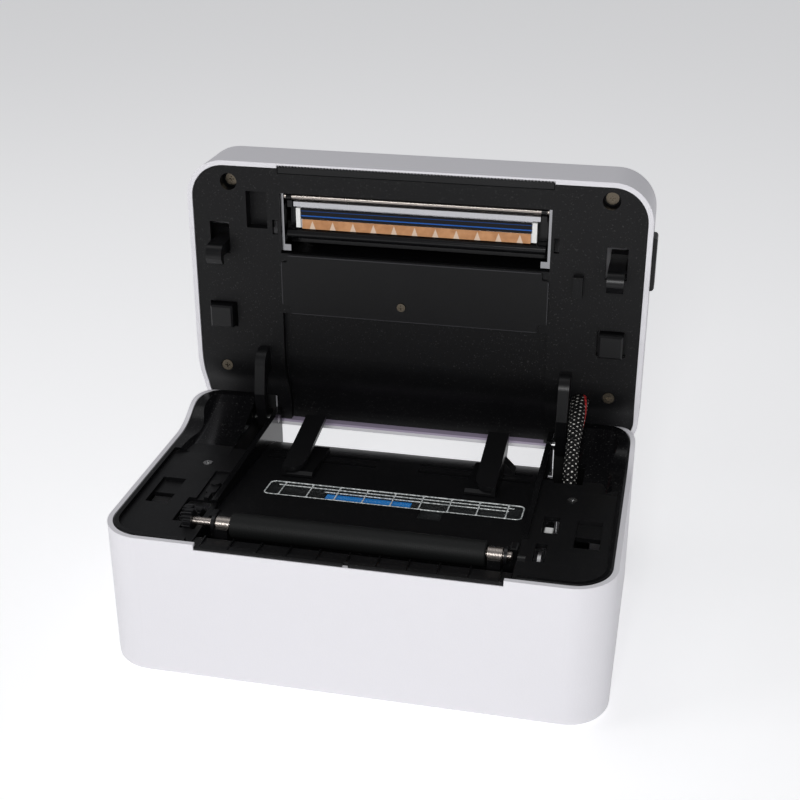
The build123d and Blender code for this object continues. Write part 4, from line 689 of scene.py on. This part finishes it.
rim = start_piece("window_rim", bpy.ops.mesh.primitive_plane_add, size=1.0)
edit_all()
bpy.ops.transform.resize(value=(STRIP_SIZE[0] - RIM_CLEARANCE, STRIP_SIZE[1] - RIM_CLEARANCE,
                                1.0))
bpy.ops.mesh.bevel(affect="VERTICES", offset=CORNER_RADIUS, segments=7)
bpy.ops.mesh.inset(thickness=RIM_WIDTH)
bpy.ops.mesh.delete(type="FACE")
bpy.ops.mesh.select_all(action="SELECT")
bpy.ops.mesh.extrude_region_move(TRANSFORM_OT_translate={"value": (0, 0, RIM_RISE)})
close_edit()
round_edges(rim, 0.00012)
lay_on_strip(rim, 0, 0, -0.00038)
finish_piece(rim, clear_edge_painted_glint, "base")
print("rim faces:", len(rim.data.polygons))

# %% One rib with a knob at each end
RIB_PITCH = 0.0127
RIB_COUNT = 9
RIB_HALF = 0.0056
RIB_SECTION = (0.00055, 0.0004)
KNOB_STEPS = ((0.0003, 1.9), (0.0008, 1.0), (0.0003, 0.55))


def end_knob(made, way):
    """Swell one end of a rib into a small rounded knob."""
    pick_faces(made, lambda face: face.normal.y * way > 0.9)
    end = (0, way * RIB_HALF, 0)
    for step, size in KNOB_STEPS:
        bpy.ops.mesh.extrude_region_move(TRANSFORM_OT_translate={"value": (0, way * step, 0)})
        bpy.ops.transform.resize(value=(size, 1.0, 1.0), center_override=end)


rib = start_piece("window_rib", bpy.ops.mesh.primitive_cube_add, size=1.0)
edit_all()
bpy.ops.transform.resize(value=(RIB_SECTION[0], 2 * RIB_HALF, RIB_SECTION[1]))
end_knob(rib, 1)
end_knob(rib, -1)
close_edit()
round_edges(rib, 0.0001)
print("rib faces:", len(rib.data.polygons))

# %% Copies of the rib
ribs = []
for index in range(RIB_COUNT):
    copy = rib.copy()
    copy.data = rib.data.copy()
    copy.name = f"window_rib_{index + 1}"
    bpy.context.scene.collection.objects.link(copy)
    lay_on_strip(copy, (index - (RIB_COUNT - 1) / 2) * RIB_PITCH, 0, -0.00022)
    ribs.append(finish_piece(copy, clear_edge_painted_glint, "base"))
bpy.data.objects.remove(rib)
print("ribs:", len(ribs))

# %% Long light guides moulded in the window
GUIDE_HEIGHT = 0.0004
GUIDE_TIP = 0.0006


def light_guide(name, length, along, across, width):
    """Rounded bar along the window, tapered at its two ends."""
    made = start_piece(name, bpy.ops.mesh.primitive_cube_add, size=1.0)
    edit_all()
    bpy.ops.transform.resize(value=(length, width, GUIDE_HEIGHT))
    for way in (-1, 1):
        pick_faces(made, lambda face: face.normal.x * way > 0.9)
        bpy.ops.mesh.extrude_region_move(
            TRANSFORM_OT_translate={"value": (way * GUIDE_TIP, 0, 0)})
        bpy.ops.transform.resize(value=(1.0, 0.5, 0.6))
    bpy.ops.object.mode_set(mode="OBJECT")
    round_edges(made, 0.0001)
    lay_on_strip(made, along, across, -0.0003)
    return finish_piece(made, clear_edge_painted_glint, "base")


rear_guide = light_guide("rear_light_guide", 0.106, 0.0, 0.0040, 0.00045)
front_guide = light_guide("front_light_guide", 0.082, 0.0100, 0.0008, 0.00040)
print("light guides:", rear_guide.name, front_guide.name)

# %% [markdown]
# ## The head cable
# A braided sleeve carries the print head's wires from the lid into the base. It is wide
# and flat where it leaves the lid and gathers to a round bundle at the opening in the
# base. It is drawn bent between the two halves as they stand with the lid open.

# %% Route of the sleeve
CABLE_ROUTE = ((0.080, 0.071, 0.0875), (0.080, 0.061, 0.086), (0.080, 0.043, 0.0785),
               (0.080, 0.029, 0.066), (0.080, 0.027, 0.054))

route_data = bpy.data.curves.new("sleeve_route", "CURVE")
route_data.dimensions = "3D"
route_data.resolution_u = 10
line = route_data.splines.new("NURBS")
line.points.add(len(CABLE_ROUTE) - 1)
for point, place in zip(line.points, CABLE_ROUTE):
    point.co = (*place, 1.0)
line.order_u = 3
line.use_endpoint_u = True
route = bpy.data.objects.new("sleeve_route", route_data)
bpy.context.scene.collection.objects.link(route)
bpy.context.view_layer.update()
traced = bpy.data.meshes.new_from_object(route)
path = [vertex.co.copy() for vertex in traced.vertices]
bpy.data.objects.remove(route)
print("sleeve path points:", len(path))

# %% Direction and width along the route
HALF_THICKNESS = 0.0021
SLEEVE_WALL = 0.0006
SLEEVE_SIDES = 24


def direction_at(index):
    """Direction of the route at one of its points."""
    return (path[min(index + 1, len(path) - 1)] - path[max(index - 1, 0)]).normalized()


def lean_at(index):
    """Turn about X that sets a ring square to the route."""
    way = direction_at(index)
    return math.atan2(way.z, way.y) + math.pi / 2


def half_width_at(index):
    """Half the width of the sleeve: wide at the lid and narrow at the base."""
    share = index / (len(path) - 1)
    return 0.0041 - 0.0013 * share + 0.0003 * math.sin(9 * share)


print("half width at the lid and the base:", half_width_at(0), half_width_at(len(path) - 1))

# %% Sleeve drawn ring by ring along the route
sleeve = start_piece("head_cable_sleeve", bpy.ops.mesh.primitive_circle_add,
                     vertices=SLEEVE_SIDES, radius=1.0)
edit_all()
bpy.ops.transform.resize(value=(half_width_at(0), HALF_THICKNESS, 1.0))
bpy.ops.transform.rotate(value=-lean_at(0), orient_axis="X", center_override=(0, 0, 0))
bpy.ops.transform.translate(value=path[0])
for index in range(1, len(path)):
    bpy.ops.mesh.extrude_edges_move(
        TRANSFORM_OT_translate={"value": path[index] - path[index - 1]})
    bpy.ops.transform.rotate(value=lean_at(index - 1) - lean_at(index), orient_axis="X",
                             center_override=path[index])
    wider = half_width_at(index) / half_width_at(index - 1)
    bpy.ops.transform.resize(value=(wider, 1.0, 1.0), center_override=path[index])
close_edit()
print("sleeve rings:", len(sleeve.data.vertices) // SLEEVE_SIDES)

# %% Coordinates of the weave
# One direction runs round the sleeve and the other along it, in metres.
reached = [0.0]
for index in range(1, len(path)):
    reached.append(reached[-1] + (path[index] - path[index - 1]).length)


def weave_place(vertex):
    """Share of the way round, and distance along, of a vertex of the sleeve."""
    ring = vertex.index // SLEEVE_SIDES
    offset = vertex.co - path[ring]
    up = direction_at(ring).cross(Vector((1, 0, 0)))
    angle = math.atan2(offset.dot(up) / HALF_THICKNESS, offset.x / half_width_at(ring))
    return angle / (2 * math.pi) + 0.5, reached[ring]


weave = sleeve.data.uv_layers.new(name="Sleeve")
for face in sleeve.data.polygons:
    spots = [weave_place(sleeve.data.vertices[v]) for v in face.vertices]
    turned = max(spot[0] for spot in spots)
    for loop, (around, along) in zip(face.loop_indices, spots):
        wrapped = around + 1.0 if turned - around > 0.5 else around
        weave.data[loop].uv = (wrapped, along)
print("weave drawn over", round(reached[-1], 4), "m")

# %% Wall of the sleeve
sleeve.data.materials.append(braid)
for face in sleeve.data.polygons:
    face.use_smooth = True
thick = sleeve.modifiers.new("wall", "SOLIDIFY")
thick.thickness = SLEEVE_WALL
thick.offset = -1.0
bpy.context.view_layer.objects.active = sleeve
bpy.ops.object.modifier_apply(modifier="wall")
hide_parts("head_cable")
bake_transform(sleeve)
print("sleeve ready:", len(sleeve.data.polygons), "faces")

# %% [markdown]
# ## Floor, light and camera
# A plain pale sweep and large soft lamps, as in a small product studio. One lamp near the
# camera opens up the black parts, and a long lamp overhead draws highlights on the edges.

# %% Floor
FLOOR_SIZE = 30.0
FLOOR_HEIGHT = -0.0002

floor = start_piece("floor", bpy.ops.mesh.primitive_plane_add, size=FLOOR_SIZE,
                    location=(0, 0, FLOOR_HEIGHT))
floor_paper, tree, shader, place = start_finish("floor_paper", (0.93, 0.93, 0.94), 0.9,
                                                Emission_Strength=0.36)
shader.inputs["Emission Color"].default_value = (1.0, 1.0, 1.0, 1.0)
floor.data.materials.append(floor_paper)
print("floor laid")

# %% Lamps


def soft_lamp(name, place, aim, size, power):
    """Square area lamp that points at a place."""
    data = bpy.data.lights.new(name, "AREA")
    data.shape = "RECTANGLE"
    data.size, data.size_y = size
    data.energy = power
    lamp = bpy.data.objects.new(name, data)
    bpy.context.scene.collection.objects.link(lamp)
    lamp.location = place
    lamp.rotation_euler = (Vector(aim) - Vector(place)).to_track_quat("-Z", "Y").to_euler()
    return lamp


soft_lamp("key_lamp", (0.16, -1.0, 0.60), (0, 0, 0.08), (0.34, 0.26), 5.4)
soft_lamp("top_lamp", (-0.2, 0.15, 1.2), (0, 0, 0.1), (0.9, 0.7), 1.8)
soft_lamp("left_lamp", (-1.0, -0.5, 0.5), (0, 0, 0.08), (0.5, 0.5), 2.2)
print("lamps:", len(bpy.data.lights))

# %% Air and camera
world = bpy.data.worlds.new("studio_air")
bpy.context.scene.world = world
world.use_nodes = True
air = world.node_tree.nodes["Background"]
air.inputs["Color"].default_value = (0.95, 0.96, 1.0, 1.0)
air.inputs["Strength"].default_value = 0.26

camera_data = bpy.data.cameras.new("camera")
camera_data.lens = 60.58
camera_data.sensor_width = 36.0
camera = bpy.data.objects.new("camera", camera_data)
bpy.context.scene.collection.objects.link(camera)
camera.location = (0.12002, -0.51209, 0.35239)
camera.rotation_euler = (math.radians(90 - 24.84), math.radians(0.03), math.radians(12.33))
bpy.context.scene.camera = camera
bpy.context.scene.view_settings.view_transform = "Standard"
print("stage ready")

# %% [markdown]
# ## End of the script

# %% End
print("script finished")
